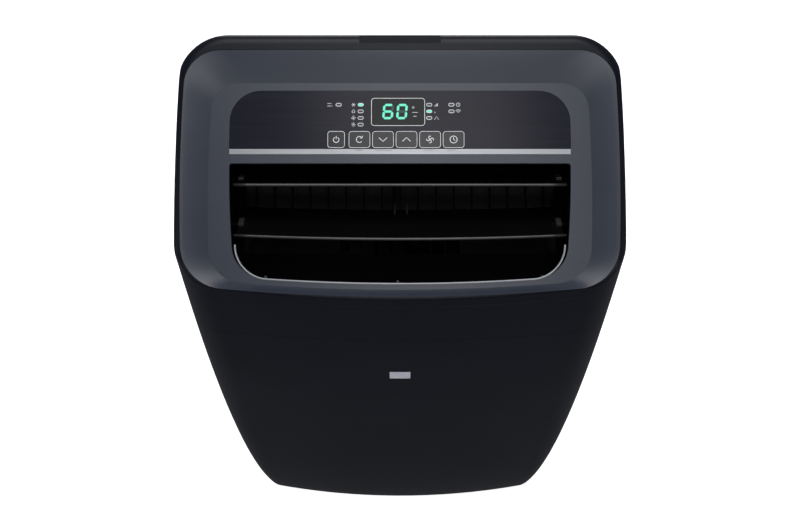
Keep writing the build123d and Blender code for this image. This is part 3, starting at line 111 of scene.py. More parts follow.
def moulded(name, dark, light, rough, grain=0.0006, bump=0.06, specular=0.4, metallic=0.0, coat=0.0,
            stretch=(1, 1, 1), cloud=0.11):
    """A material with drifting colour, uneven gloss and a fine surface grain."""
    material = bpy.data.materials.new(name)
    material.use_nodes = True
    nodes = material.node_tree.nodes
    links = material.node_tree.links
    shader = nodes["Principled BSDF"]
    shader.inputs["Metallic"].default_value = metallic
    shader.inputs["Specular IOR Level"].default_value = specular
    shader.inputs["Coat Weight"].default_value = coat
    shader.inputs["Coat Roughness"].default_value = 0.08
    place = nodes.new("ShaderNodeTexCoord")
    mapping = nodes.new("ShaderNodeMapping")
    mapping.inputs["Scale"].default_value = stretch
    links.new(place.outputs["Object"], mapping.inputs["Vector"])
    drift = nodes.new("ShaderNodeTexNoise")
    drift.inputs["Scale"].default_value = 1 / cloud
    drift.inputs["Detail"].default_value = 5
    links.new(mapping.outputs["Vector"], drift.inputs["Vector"])
    ramp = nodes.new("ShaderNodeValToRGB")
    ramp.color_ramp.elements[0].position = 0.3
    ramp.color_ramp.elements[1].position = 0.7
    ramp.color_ramp.elements[0].color = (*dark, 1)
    ramp.color_ramp.elements[1].color = (*light, 1)
    links.new(drift.outputs["Fac"], ramp.inputs["Fac"])
    links.new(ramp.outputs["Color"], shader.inputs["Base Color"])
    gloss = nodes.new("ShaderNodeMapRange")
    gloss.inputs["To Min"].default_value = rough[0]
    gloss.inputs["To Max"].default_value = rough[1]
    grit = nodes.new("ShaderNodeTexNoise")
    grit.inputs["Scale"].default_value = 1 / grain
    grit.inputs["Detail"].default_value = 3
    links.new(mapping.outputs["Vector"], grit.inputs["Vector"])
    links.new(grit.outputs["Fac"], gloss.inputs["Value"])
    links.new(gloss.outputs["Result"], shader.inputs["Roughness"])
    height = nodes.new("ShaderNodeBump")
    height.inputs["Strength"].default_value = bump
    height.inputs["Distance"].default_value = 0.0002
    links.new(grit.outputs["Fac"], height.inputs["Height"])
    links.new(height.outputs["Normal"], shader.inputs["Normal"])
    FINISH[name] = material
    return shader


# %% Finishes of the mouldings
moulded("navy_shell", (0.0022, 0.0032, 0.0068), (0.0032, 0.0044, 0.0088), (0.34, 0.44), specular=0.17)
moulded("slate_bezel", (0.020, 0.025, 0.039), (0.025, 0.031, 0.047), (0.32, 0.40), specular=0.42)
moulded("black_glass", (0.0095, 0.0098, 0.0165), (0.0130, 0.0134, 0.0220), (0.14, 0.26), grain=0.0005,
        bump=0.02, specular=0.12, stretch=(0.04, 1, 1), cloud=0.004)
moulded("key_gloss", (0.0075, 0.0080, 0.0130), (0.0100, 0.0104, 0.0165), (0.16, 0.24), grain=0.0005,
        bump=0.02, specular=0.25)
moulded("silver_trim", (0.27, 0.28, 0.30), (0.33, 0.34, 0.36), (0.26, 0.36), grain=0.0003, bump=0.05,
        metallic=0.35, stretch=(0.02, 1, 1), cloud=0.002)
moulded("window_lens", (0.36, 0.35, 0.41), (0.42, 0.41, 0.47), (0.25, 0.35), coat=0.4, cloud=0.006)
moulded("display_smoke", (0.0035, 0.0045, 0.0050), (0.0048, 0.0060, 0.0066), (0.10, 0.16), specular=0.12)
moulded("light_lens", (0.020, 0.022, 0.024), (0.032, 0.034, 0.036), (0.2, 0.3), cloud=0.002)
# Near black with almost no gloss, darker than the other black plastics: the duct's own black plus painted shade
# for the depth of the outlet.
moulded("duct_black", (0.0004, 0.0004, 0.0005), (0.0008, 0.0008, 0.0009), (0.6, 0.75), specular=0.04)
moulded("housing_grey", (0.020, 0.020, 0.022), (0.030, 0.030, 0.033), (0.5, 0.65))
moulded("filter_net", (0.012, 0.012, 0.013), (0.018, 0.018, 0.020), (0.6, 0.75), grain=0.0004)
moulded("fin_aluminium", (0.50, 0.51, 0.53), (0.62, 0.63, 0.65), (0.3, 0.42), metallic=0.9, cloud=0.01)
moulded("sheet_steel", (0.36, 0.37, 0.38), (0.48, 0.49, 0.50), (0.32, 0.5), metallic=0.95, cloud=0.02)
moulded("black_steel", (0.010, 0.010, 0.011), (0.016, 0.016, 0.017), (0.3, 0.42))
moulded("rubber", (0.012, 0.012, 0.012), (0.019, 0.019, 0.019), (0.7, 0.85), grain=0.0009, bump=0.15)
moulded("copper_pipe", (0.44, 0.20, 0.10), (0.60, 0.30, 0.16), (0.28, 0.45), metallic=1.0, cloud=0.01)
moulded("board_green", (0.012, 0.055, 0.024), (0.018, 0.080, 0.036), (0.3, 0.45), cloud=0.004)
moulded("screw_steel", (0.36, 0.36, 0.38), (0.50, 0.50, 0.52), (0.25, 0.4), metallic=1.0, cloud=0.003)
moulded("caster_nylon", (0.008, 0.008, 0.009), (0.013, 0.013, 0.015), (0.4, 0.55))
moulded("caster_tread", (0.018, 0.018, 0.019), (0.028, 0.028, 0.029), (0.5, 0.7), grain=0.0009, bump=0.12)
print("finishes:", len(FINISH))

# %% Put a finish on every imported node
SLOT_OF = {entry["node"]: entry["material_slot"] for entry in frame["record"]["subparts"]}
for node_name, body in frame["nodes"].items():
    body.data.materials.clear()
    body.data.materials.append(FINISH[SLOT_OF[node_name]])
print("nodes finished:", len(frame["nodes"]))

# %% [markdown]
# ## Printed marks
#
# White ink on glass is a film with a crisp edge. Texture paint would blur close up, so each mark is cut
# as a flat ribbon a few hundredths of a millimetre thick: outlines, strokes and arcs all come from one
# ribbon maker that takes points on the deck.

# %% A ribbon maker for ink and light bars
INK_LIFT = 0.04
INK_THICK = 0.03


def ribbon_mesh(name, strokes, lift=INK_LIFT, thick=INK_THICK):
    """Flat ribbons on the deck. A stroke is its points, its width and whether it closes."""
    shape = bmesh.new()
    for points, width, closed in strokes:
        count = len(points)
        sides = []
        for i, (x, run) in enumerate(points):
            before = points[(i - 1) % count] if closed or i else points[i]
            after = points[(i + 1) % count] if closed or i < count - 1 else points[i]
            along = Vector((after[0] - before[0], after[1] - before[1])).normalized()
            across = Vector((-along.y, along.x)) * width / 2
            sides.append(((x + across.x, run + across.y), (x - across.x, run - across.y)))
        rows = [[shape.verts.new(deck(*spot, lift + rise)) for spot in pair for rise in (0, thick)]
                for pair in sides]
        for i in range(count if closed else count - 1):
            a, b = rows[i], rows[(i + 1) % count]
            for k, m in ((0, 1), (1, 3), (3, 2), (2, 0)):
                shape.faces.new((a[k], a[m], b[m], b[k]))
        if not closed:
            for row in (rows[0], rows[-1]):
                shape.faces.new((row[0], row[1], row[3], row[2]))
    bmesh.ops.recalc_face_normals(shape, faces=shape.faces)
    return as_piece(name, shape)


def rounded(x, run, wide, tall, corner, steps=7):
    """Points round a rounded rectangle about a centre."""
    points = []
    for k, (sx, sy) in enumerate(((1, 1), (-1, 1), (-1, -1), (1, -1))):
        centre = (x + sx * (wide / 2 - corner), run + sy * (tall / 2 - corner))
        for i in range(steps + 1):
            angle = pi / 2 * (k + i / steps)
            points.append((centre[0] + corner * cos(angle), centre[1] + corner * sin(angle)))
    return points


def arc(x, run, radius, start, end, steps=20):
    """Points along an arc, in degrees, with zero towards +X and 90 down the slope."""
    angles = [radians(start + (end - start) * i / steps) for i in range(steps + 1)]
    return [(x + radius * cos(angle), run + radius * sin(angle)) for angle in angles]


def finished(piece, finish, body):
    """Give a piece its finish and its body."""
    piece.data.materials.clear()
    piece.data.materials.append(FINISH[finish])
    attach(piece, body)
    print(piece.name, len(piece.data.polygons), "faces on", body)
    return piece


# %% Ink and light
moulded("white_ink", (0.78, 0.79, 0.82), (0.90, 0.90, 0.92), (0.5, 0.6), grain=0.0003, cloud=0.004)
moulded("grey_ink", (0.10, 0.10, 0.115), (0.15, 0.15, 0.165), (0.5, 0.6), grain=0.0003, cloud=0.004)


def glowing(name, colour, strength):
    """A lit bar or lens: a diffuse plastic that gives light, a little uneven inside."""
    shader = moulded(name, [c * 0.5 for c in colour], [c * 0.7 for c in colour], (0.3, 0.4), cloud=0.002)
    nodes = FINISH[name].node_tree.nodes
    ramp = nodes.new("ShaderNodeValToRGB")
    ramp.color_ramp.elements[0].color = (*[c * 0.75 for c in colour], 1)
    ramp.color_ramp.elements[1].color = (*colour, 1)
    cell = nodes.new("ShaderNodeTexNoise")
    cell.inputs["Scale"].default_value = 350
    links = FINISH[name].node_tree.links
    links.new(cell.outputs["Fac"], ramp.inputs["Fac"])
    links.new(ramp.outputs["Color"], shader.inputs["Emission Color"])
    shader.inputs["Emission Strength"].default_value = strength


glowing("lit_green", (0.10, 0.62, 0.42), 0.9)
# A faint glow for the unlit bars, which give no light: painted glow.
glowing("unlit_bar_painted_glow", (0.0, 0.05, 0.034), 0.2)

# %% [markdown]
# ## Marks on the keys
#
# Each key has a thin white outline and one sign. The signs are plain strokes that anyone may use: the
# power sign, chevrons for less and more, a fan rotor, a clock and a round arrow for the mode. They ride
# on the key, so they go down with it.

# %% Outlines and signs of the six keys
OUTLINE = 0.48
STROKE = 0.68
KEY_TOP = 0.3


def sign_power(x, run):
    """A broken ring with a bar."""
    bar = [(x, run - 4.0), (x, run - 0.4)]
    return [(arc(x, run + 0.3, 3.1, -60, 240), STROKE, False), (bar, STROKE, False)]


def sign_mode(x, run):
    """A round arrow: which of the modes comes next."""
    tip = (x + 3.4 * cos(radians(-30)), run + 3.4 * sin(radians(-30)))
    head = [(tip[0] - 2.5, tip[1] + 0.1), tip, (tip[0] + 0.5, tip[1] - 2.4)]
    return [(arc(x, run, 3.4, 40, 330), STROKE, False), (head, STROKE, False)]


def sign_chevron(x, run, way):
    """A chevron, 1 for down the slope and -1 for up."""
    points = [(x - 4.4, run - 2.0 * way), (x, run + 2.2 * way), (x + 4.4, run - 2.0 * way)]
    return [(points, STROKE * 1.1, False)]


def sign_fan(x, run, size=4.2, width=STROKE):
    """Four curved blades round a hub."""
    strokes = [(arc(x, run, size * 0.2, 0, 351, 14), width, True)]
    for quarter in range(4):
        turn = 90 * quarter
        middle = (x + size * 0.55 * cos(radians(turn)), run + size * 0.55 * sin(radians(turn)))
        strokes.append((arc(*middle, size * 0.36, turn - 180, turn + 40, 12), width, False))
    return strokes


def sign_clock(x, run, size=3.9, width=STROKE):
    """A dial with two hands."""
    hands = [(x, run - size * 0.62), (x, run), (x + size * 0.45, run + size * 0.28)]
    return [(arc(x, run, size, 0, 351, 30), width, True), (hands, width, False)]


KEY_SIGNS = {
    "power": sign_power,
    "mode": sign_mode,
    "down": lambda x, run: sign_chevron(x, run, 1),
    "up": lambda x, run: sign_chevron(x, run, -1),
    "fan": sign_fan,
    "timer": sign_clock,
}
KEY_ROW = 119.7
for key, sign in KEY_SIGNS.items():
    low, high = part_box(f"{key}_button")
    key_x = (low.x + high.x) / 2 / MM
    key_wide = (high.x - low.x) / MM - 1.2
    outline = (rounded(key_x, KEY_ROW, key_wide - 0.9, 18.3, 3.1), OUTLINE, True)
    marks = ribbon_mesh(f"{key}_key_marks", [outline] + sign(key_x, KEY_ROW), lift=KEY_TOP + INK_LIFT)
    finished(marks, "white_ink", f"{key}_key")

# %% [markdown]
# ## The display
#
# The set temperature shows in two seven-segment digits behind smoked glass. All seven bars of each digit
# are there, lit or not, as on the real thing: unlit bars are just visible, by a faint painted glow. A bar
# is a flat hexagon, leaned a little, so the digits slope as segment displays do.

# %% Seven-segment digits
DIGIT_WIDE = 12.0
DIGIT_TALL = 17.6
BAR = 2.7
LEAN = 0.09
DIGITS_MIDDLE = 88.0
SEGMENTS = {"a": (0, 0, 1, 0), "b": (1, 0, 1, 0.5), "c": (1, 0.5, 1, 1), "d": (0, 1, 1, 1),
            "e": (0, 0.5, 0, 1), "f": (0, 0, 0, 0.5), "g": (0, 0.5, 1, 0.5)}
LIT = {6: "acdefg", 0: "abcdef"}


def digit_bars(x, wanted):
    """Outline of each wanted bar of the digit whose left edge is at x."""
    bars = []
    for name in wanted:
        x0, y0, x1, y1 = SEGMENTS[name]
        inner_wide = DIGIT_WIDE - BAR
        inner_tall = DIGIT_TALL - BAR
        start = Vector((x0 * inner_wide, y0 * inner_tall))
        end = Vector((x1 * inner_wide, y1 * inner_tall))
        along = (end - start).normalized()
        across = Vector((-along.y, along.x)) * BAR / 2
        start += along * 0.25
        end -= along * 0.25
        corners = [start, start + along * BAR / 2 + across, end - along * BAR / 2 + across,
                   end, end - along * BAR / 2 - across, start + along * BAR / 2 - across]
        top = DIGITS_MIDDLE - inner_tall / 2
        bars.append([(x + BAR / 2 + p.x + LEAN * (inner_tall / 2 - p.y), top + p.y) for p in corners])
    return bars


def plates(name, outlines, lift, thick):
    """Flat plates on the deck, one for each outline."""
    shape = bmesh.new()
    for outline in outlines:
        low = [shape.verts.new(deck(*spot, lift)) for spot in outline]
        high = [shape.verts.new(deck(*spot, lift + thick)) for spot in outline]
        shape.faces.new(low)
        shape.faces.new(high)
        for i in range(len(outline)):
            j = (i + 1) % len(outline)
            shape.faces.new((low[i], low[j], high[j], high[i]))
    bmesh.ops.recalc_face_normals(shape, faces=shape.faces)
    return as_piece(name, shape)


DIGIT_SPOTS = ((-19.2, 6), (-3.8, 0))
lit_bars = [bar for x, digit in DIGIT_SPOTS for bar in digit_bars(x, LIT[digit])]
dark_bars = [bar for x, digit in DIGIT_SPOTS
             for bar in digit_bars(x, sorted(set(SEGMENTS) - set(LIT[digit])))]
finished(plates("display_digits", lit_bars, 0.05, 0.05), "lit_green", "casing")
finished(plates("display_unlit_bars", dark_bars, 0.05, 0.04), "unlit_bar_painted_glow", "casing")
lens_low, lens_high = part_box("display_lens")
lens_x = (lens_low.x + lens_high.x) / 2 / MM
lens_wide = (lens_high.x - lens_low.x) / MM
DISPLAY_TALL = 32.6
frame_line = (rounded(lens_x, DIGITS_MIDDLE + 0.4, lens_wide - 1.4, DISPLAY_TALL - 1.6, 3.2), 0.55, True)
degree_ring = (arc(14.6, 83.4, 1.0, 0, 342, 12), 0.4, True)
unit_bars = [([(13.4, 89.0), (19.6, 89.0)], 0.45, False), ([(14.6, 93.4), (18.4, 93.4)], 0.45, False)]
finished(ribbon_mesh("display_frame_line", [frame_line, degree_ring] + unit_bars), "white_ink", "casing")

# %% [markdown]
# ## Status lights
#
# Ten small oval lenses tell the mode, the fan speed and the timers. Each is ringed in white, and two are
# lit: one mode and one speed. Beside each stands a small sign in place of a word.

# %% Rings, lit lenses and signs
LIGHT_COLUMNS = ((-67.9, 1), (-43.5, 4), (32.3, 3), (56.9, 2))
LIGHT_FIRST = 80.3
LIGHT_PITCH = 7.5
LIT_LIGHTS = ((-43.5, 80.3), (32.3, 87.8))
light_spots = [(x, LIGHT_FIRST + i * LIGHT_PITCH) for x, count in LIGHT_COLUMNS for i in range(count)]
rings = [(rounded(x, run, 5.9, 3.3, 1.63, 5), 0.5, True) for x, run in light_spots]
finished(ribbon_mesh("light_rings", rings, lift=0.12), "white_ink", "casing")
glints = [rounded(x, run, 5.2, 2.6, 1.28, 5) for x, run in LIT_LIGHTS]
finished(plates("lit_lights", glints, 0.11, 0.03), "lit_green", "casing")


SMALL_STROKE = 0.4
SHORT_STROKE = 0.42


def sign_snow(x, run, size=2.2):
    """Three crossed strokes."""
    return [([(x - size * cos(t), run - size * sin(t)), (x + size * cos(t), run + size * sin(t))],
             SMALL_STROKE, False) for t in (0, pi / 3, 2 * pi / 3)]


def sign_drop(x, run, size=1.5):
    """A drop of water."""
    return [([(x, run - 1.6 * size)] + arc(x, run + 0.3, size, -30, 210, 12), SMALL_STROKE, True)]


def sign_sun(x, run):
    """A disc with rays."""
    rays = [([(x + 1.5 * cos(t), run + 1.5 * sin(t)), (x + 2.4 * cos(t), run + 2.4 * sin(t))],
             0.38, False) for t in [i * pi / 4 for i in range(8)]]
    return [(arc(x, run, 0.8, 0, 342, 12), SMALL_STROKE, True)] + rays


def sign_bars(x, run, count):
    """Rising bars for the fan speed."""
    return [([(x + 1.4 * i, run + 1.8), (x + 1.4 * i, run + 0.6 - 1.1 * i)], 0.7, False)
            for i in range(count)]


MODE_SIGNS, SPEED_SIGNS, TIMER_SIGNS = -51.5, 38.6, 64.4
ROWS = [LIGHT_FIRST + i * LIGHT_PITCH for i in range(4)]
small = sign_snow(MODE_SIGNS, ROWS[0]) + sign_drop(MODE_SIGNS, ROWS[1])
small += sign_fan(MODE_SIGNS, ROWS[2], 2.4, SMALL_STROKE) + sign_sun(MODE_SIGNS, ROWS[3])
small += [([(-80.5, 78.9), (-76.0, 78.9)], SHORT_STROKE, False),
          ([(-80.5, 81.7), (-74.8, 81.7)], SHORT_STROKE, False)]
small += sign_bars(SPEED_SIGNS, ROWS[0], 3) + sign_bars(SPEED_SIGNS, ROWS[1], 1)
small += [([(38.0, 97.2), (40.4, 93.4), (42.8, 97.2)], SHORT_STROKE, False)]
small += sign_clock(TIMER_SIGNS, ROWS[0], 2.1, SMALL_STROKE)
small += [(arc(TIMER_SIGNS, 90.0, r, 225, 315, 8), SHORT_STROKE, False) for r in (1.3, 2.7, 4.1)]
finished(ribbon_mesh("light_signs", small), "white_ink", "casing")
HINTS = ((-50, -41), (-28, -9), (27, 38), (52, 61))
HINT_RUN = 131.6
under = [([(start, HINT_RUN), (end, HINT_RUN)], 0.5, False) for start, end in HINTS]
finished(ribbon_mesh("hint_lines", under, lift=0.45), "grey_ink", "casing")

# %% [markdown]
# ## The bezel as one soft bowl
#
# The bezel is a single moulding whose wall runs from the rim down to the plateau without a flat lip.
# The imported one has a flat lip and a ruled wall, which shows as two tones. So its flat floor, openings
# and hidden sides are kept, and only the wall is remade: rings are run between the same two outlines,
# and their depth follows one gentle curve, so light runs over the wall without a break. The new wall
# carries a darker copy of the bezel's grey: painted shade, since wall and plateau are one moulding.

# %% Remake the wall of the bezel, with painted shade in its finish
# The wall's finish is the bezel's grey made darker: painted shade on the wall.
moulded("bezel_wall_painted_shade", (0.0150, 0.0185, 0.0290), (0.0190, 0.0230, 0.0355), (0.38, 0.48), specular=0.28)
WALL_RINGS = 14
WALL_SPOKES = 288
BOWL_MIDDLE = 165.0
WALL_CURVE = 1.1
SHARP_ANGLE = 28
FLAT_ENOUGH = 0.995
NEAR = 0.2


def on_deck(point):
    """Across, down the slope, and depth below the bowl's floor, in millimetres."""
    away = (point - DECK_START) / MM
    return away.x, away.dot(DOWN_DECK), -away.dot(OUT_OF_DECK)


def outline_at(loop, angle):
    """Where a ray from the middle of the bowl last crosses a loop of edges."""
    ray = Vector((cos(angle), sin(angle)))
    best = 0.0
    for start, end in loop:
        span = end - start
        cross = ray.x * span.y - ray.y * span.x
        if abs(cross) < 1e-9:
            continue
        far = (start.x * span.y - start.y * span.x) / cross
        share = (start.x * ray.y - start.y * ray.x) / cross
        if -1e-6 <= share <= 1 + 1e-6:
            best = max(best, far)
    return ray * best


bowl = bmesh.new()
bowl.from_mesh(frame["nodes"]["deck_bezel"].data)
bmesh.ops.remove_doubles(bowl, verts=bowl.verts, dist=2e-6)
flat = {vert: on_deck(vert.co) for vert in bowl.verts}
lip_depth = min(spot[2] for spot in flat.values())


def is_wall(face):
    """The flat lip and the ruled wall: they face out of the deck and rise above the floor."""
    depths = [flat[vert][2] for vert in face.verts]
    faces_out = face.normal.dot(OUT_OF_DECK) > 0.25
    return faces_out and min(depths) < -NEAR and max(depths) < NEAR


wall = [face for face in bowl.faces if is_wall(face)]
inside = set(wall)
outer_loop, inner_loop = [], []
for face in wall:
    for edge in face.edges:
        if all(other in inside for other in edge.link_faces):
            continue
        ends = [Vector((flat[vert][0], flat[vert][1] - BOWL_MIDDLE)) for vert in edge.verts]
        deep = min(flat[vert][2] for vert in edge.verts)
        (inner_loop if deep > -NEAR else outer_loop).append(ends)
bmesh.ops.delete(bowl, geom=wall, context="FACES")
print("bezel wall faces:", len(wall), "outer edges:", len(outer_loop), "inner edges:", len(inner_loop))
for face in bowl.faces:
    face.smooth = abs(face.normal.dot(OUT_OF_DECK)) < FLAT_ENOUGH
rows = []
for spoke in range(WALL_SPOKES):
    angle = 2 * pi * spoke / WALL_SPOKES
    outer, inner = outline_at(outer_loop, angle), outline_at(inner_loop, angle)
    row = []
    for ring in range(WALL_RINGS + 1):
        share = ring / WALL_RINGS
        spot = outer.lerp(inner, share)
        depth = lip_depth * (1 - share ** WALL_CURVE)
        row.append(bowl.verts.new(deck(spot.x, spot.y + BOWL_MIDDLE, -depth)))
    rows.append(row)
new_faces = []
for spoke in range(WALL_SPOKES):
    here, there = rows[spoke], rows[(spoke + 1) % WALL_SPOKES]
    for ring in range(WALL_RINGS):
        new_faces.append(bowl.faces.new((here[ring], here[ring + 1], there[ring + 1], there[ring])))
for face in new_faces:
    face.normal_update()
    face.smooth = True
    # Slot two holds the darker wall finish: painted shade.
    face.material_index = 1
    if face.normal.dot(OUT_OF_DECK) < 0:
        face.normal_flip()
bezel = as_piece("soft_bezel", bowl)
if "custom_normal" in bezel.data.attributes:
    bezel.data.attributes.remove(bezel.data.attributes["custom_normal"])
bezel.data.set_sharp_from_angle(angle=radians(SHARP_ANGLE))
finished(bezel, "slate_bezel", "casing")
bezel.data.materials.append(FINISH["bezel_wall_painted_shade"])
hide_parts("deck_bezel")

# %% [markdown]
# ## Inside the outlet
#
# Two long vanes steer the air. Their near edges catch the light, so each gets a rounded edge bead, made
# as a thin tube along the edge. Small clips sit at the ends of the vanes, and two short posts stand
# behind the middle of the lower one. All of these ride on their vane.

# %% A tube along a path, and small rounded blocks
def tube_mesh(name, points, radius, sides=8):
    """A closed round bar through the points."""
    shape = bmesh.new()
    rings = []
    for i, point in enumerate(points):
        along = (points[min(i + 1, len(points) - 1)] - points[max(i - 1, 0)]).normalized()
        side = along.cross(OUT_OF_DECK).normalized()
        up = side.cross(along).normalized()
        rings.append([shape.verts.new(point + (side * cos(a) + up * sin(a)) * radius)
                      for a in [2 * pi * k / sides for k in range(sides)]])
    for low, high in zip(rings, rings[1:]):
        for k in range(sides):
            m = (k + 1) % sides
            shape.faces.new((low[k], low[m], high[m], high[k]))
    shape.faces.new(rings[0])
    shape.faces.new(rings[-1])
    bmesh.ops.recalc_face_normals(shape, faces=shape.faces)
    for face in shape.faces:
        face.smooth = len(face.verts) == 4
    return as_piece(name, shape)


def blocks(name, spots, axes, size, soften=0.4):
    """Small blocks with softened edges, each centred on a spot and lying along the three axes."""
    shape = bmesh.new()
    turn = Matrix([list(axis) for axis in axes]).transposed().to_4x4()
    for spot in spots:
        scale = Matrix.Diagonal((size[0] * MM, size[1] * MM, size[2] * MM, 1))
        bmesh.ops.create_cube(shape, size=1, matrix=Matrix.Translation(spot) @ turn @ scale)
    bmesh.ops.bevel(shape, geom=shape.edges[:], offset=soften * MM, segments=2, affect="EDGES",
                    profile=0.6)
    bmesh.ops.recalc_face_normals(shape, faces=shape.faces)
    return as_piece(name, shape)


moulded("vane_edge", (0.020, 0.020, 0.022), (0.034, 0.034, 0.037), (0.28, 0.42), specular=0.5, cloud=0.03)
moulded("clip_grey", (0.012, 0.012, 0.013), (0.020, 0.020, 0.022), (0.35, 0.5), specular=0.4, cloud=0.01)
ACROSS = Vector((1, 0, 0))

# %% Edge beads, clips and posts of the vanes
VANES = {
    "upper": {"joint": "upper_vane_swing", "chord": 44.0, "angle": 27.4, "bow": 0.0},
    "lower": {"joint": "lower_vane_swing", "chord": 62.0, "angle": 41.0, "bow": 7.6},
}
EDGE_STEPS = 24
BEAD_RADIUS = 1.72
BEAD_INSET = 1.1
VANE_END = 12.0
CLIP_SIZE = (6.0, 14.0, 4.0)
CLIP_RISE = 3.0
POST_SIZE = (1.6, 9.0, 11.0)
POST_SPOTS = (-6.0, 8.0)
POST_BACK = 24.0
POST_RISE = 6.5
for place, vane in VANES.items():
    pivot = Vector(JOINTS[vane["joint"]]["pos_m"])
    angle = radians(vane["angle"])
    outward = OUT_OF_DECK * cos(angle) + DOWN_DECK * sin(angle)
    upward = ACROSS.cross(outward)
    if upward.dot(DOWN_DECK) > 0:
        upward = -upward
    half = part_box(f"{place}_vane")[1].x / MM - VANE_END
    edge = []
    for i in range(EDGE_STEPS + 1):
        x = -half + 2 * half * i / EDGE_STEPS
        reach = vane["chord"] / 2 - BEAD_INSET - vane["bow"] * (x / half) ** 2
        edge.append(Vector((x * MM, pivot.y, pivot.z)) + outward * reach * MM)
    bead = tube_mesh(f"{place}_vane_edge", edge, BEAD_RADIUS * MM, 10)
    finished(bead, "vane_edge", f"{place}_vane_body")
    ends = [Vector((side * (half - CLIP_SIZE[0]) * MM, pivot.y, pivot.z)) + upward * CLIP_RISE * MM
            for side in (-1, 1)]
    clips = blocks(f"{place}_vane_clips", ends, (ACROSS, outward, upward), CLIP_SIZE)
    finished(clips, "clip_grey", f"{place}_vane_body")
    if place == "lower":
        away = upward * POST_RISE * MM - outward * POST_BACK * MM
        back = [Vector((x * MM, pivot.y, pivot.z)) + away for x in POST_SPOTS]
        posts = blocks("lower_vane_posts", back, (ACROSS, outward, upward), POST_SIZE, 0.3)
        finished(posts, "clip_grey", "lower_vane_body")

# %% [markdown]
# ## Guide fins by Geometry Nodes
#
# Behind the vanes stands a row of equal upright fins that straighten the air. What repeats at an even
# pitch is best made by a rule, so a node tree instances one thin slab along a line. Its sizes are named
# inputs, and the result is turned into a plain mesh before it is handed to the frame.

# %% A helper for node trees
def node_piece(name, tree, values, place):
    """Run a node tree on an empty mesh and return its result as a plain piece, moved into place."""
    carrier = bpy.data.objects.new(name + "_rule", bpy.data.meshes.new(name + "_rule"))
    bpy.context.scene.collection.objects.link(carrier)
    modifier = carrier.modifiers.new("rule", "NODES")
    modifier.node_group = tree
    for item in tree.interface.items_tree:
        if item.item_type == "SOCKET" and item.in_out == "INPUT" and item.name in values:
            modifier[item.identifier] = values[item.name]
    bpy.context.view_layer.update()
    evaluated = carrier.evaluated_get(bpy.context.evaluated_depsgraph_get())
    mesh = bpy.data.meshes.new_from_object(evaluated)
    mesh.name = name
    carrier.modifiers.remove(modifier)
    bpy.data.objects.remove(carrier)
    mesh.transform(place)
    piece = bpy.data.objects.new(name, mesh)
    bpy.context.scene.collection.objects.link(piece)
    return piece


def new_tree(name, inputs):
    """An empty tree with named inputs, an output, and a helper that adds a node."""
    tree = bpy.data.node_groups.new(name, "GeometryNodeTree")
    tree.interface.new_socket("Geometry", in_out="INPUT", socket_type="NodeSocketGeometry")
    for title, kind in inputs:
        tree.interface.new_socket(title, in_out="INPUT", socket_type=kind)
    tree.interface.new_socket("Geometry", in_out="OUTPUT", socket_type="NodeSocketGeometry")
    return tree


def add_node(tree, kind, **inputs):
    """Add a node; an input is a value, or another node's output socket to link."""
    node = tree.nodes.new(kind)
    for title, value in inputs.items():
        socket = node.inputs[title.replace("_", " ")]
        if isinstance(value, bpy.types.NodeSocket):
            tree.links.new(value, socket)
        else:
            socket.default_value = value
    return node


def end_tree(tree, geometry, material):
    """Close a tree: realise the instances, set the material, and output."""
    real = add_node(tree, "GeometryNodeRealizeInstances", Geometry=geometry)
    painted = add_node(tree, "GeometryNodeSetMaterial", Geometry=real.outputs[0], Material=material)
    out = tree.nodes.new("NodeGroupOutput")
    tree.links.new(painted.outputs[0], out.inputs[0])


# %% A row of fins
def fin_tree():
    """Slabs at an even pitch along X."""
    tree = new_tree("guide_fins", [("Count", "NodeSocketInt"), ("Pitch", "NodeSocketFloat"),
                                   ("Slab", "NodeSocketVector")])
    given = tree.nodes.new("NodeGroupInput")
    step = add_node(tree, "ShaderNodeCombineXYZ", X=given.outputs["Pitch"])
    line = add_node(tree, "GeometryNodeMeshLine", Count=given.outputs["Count"], Offset=step.outputs[0])
    slab = add_node(tree, "GeometryNodeMeshCube", Size=given.outputs["Slab"])
    row = add_node(tree, "GeometryNodeInstanceOnPoints", Points=line.outputs[0], Instance=slab.outputs[0])
    end_tree(tree, row.outputs[0], FINISH["duct_black"])
    return tree


def deck_matrix(x, run, lift):
    """Moves a drawing with X across, Y up the slope and Z out of the deck to a point of the deck."""
    turn = Matrix([list(ACROSS), list(-DOWN_DECK), list(OUT_OF_DECK)]).transposed().to_4x4()
    return Matrix.Translation(deck(x, run, lift)) @ turn


FIN_COUNT = 17
FIN_PITCH = 21.0
FIN_SLAB = Vector((1.4, 48.0, 9.0)) * MM
FIN_RUN = 176.0
FIN_LIFT = -74.0
fin_values = {"Count": FIN_COUNT, "Pitch": FIN_PITCH * MM, "Slab": FIN_SLAB}
fins = node_piece("guide_fins", fin_tree(), fin_values,
                  deck_matrix(-FIN_PITCH * (FIN_COUNT - 1) / 2, FIN_RUN, FIN_LIFT))
# The fins take the near-black duct finish, which is partly painted shade.
finished(fins, "duct_black", "casing")

# %% [markdown]
# ## Lip of the outlet
#
# The front edge of the outlet is rolled, and the roll carries a bright line: a painted highlight, made
# with a much lighter grey than the bezel's. Four small catches sit just inside it.

# %% The rolled lip and its catches
OUTLET_FRONT = 279.0
MOUTH_HALF = GLASS_HALF - 8.2
CORNER = 38.0
BOW = 2100.0
LIP_RADIUS = 1.05
LIP_LIFT = -0.55
LIP_OUT = 0.5
CATCH_SPOTS = (-159.0, -146.0, -2.5, 155.0)
CATCH_SIZE = (2.6, 3.2, 3.0)
CATCH_INSET = 1.6
CATCH_LIFT = -2.6


def mouth_front(x):
    """Run of the outlet's front edge at x."""
    return OUTLET_FRONT - (BOW - sqrt(BOW * BOW - x * x))


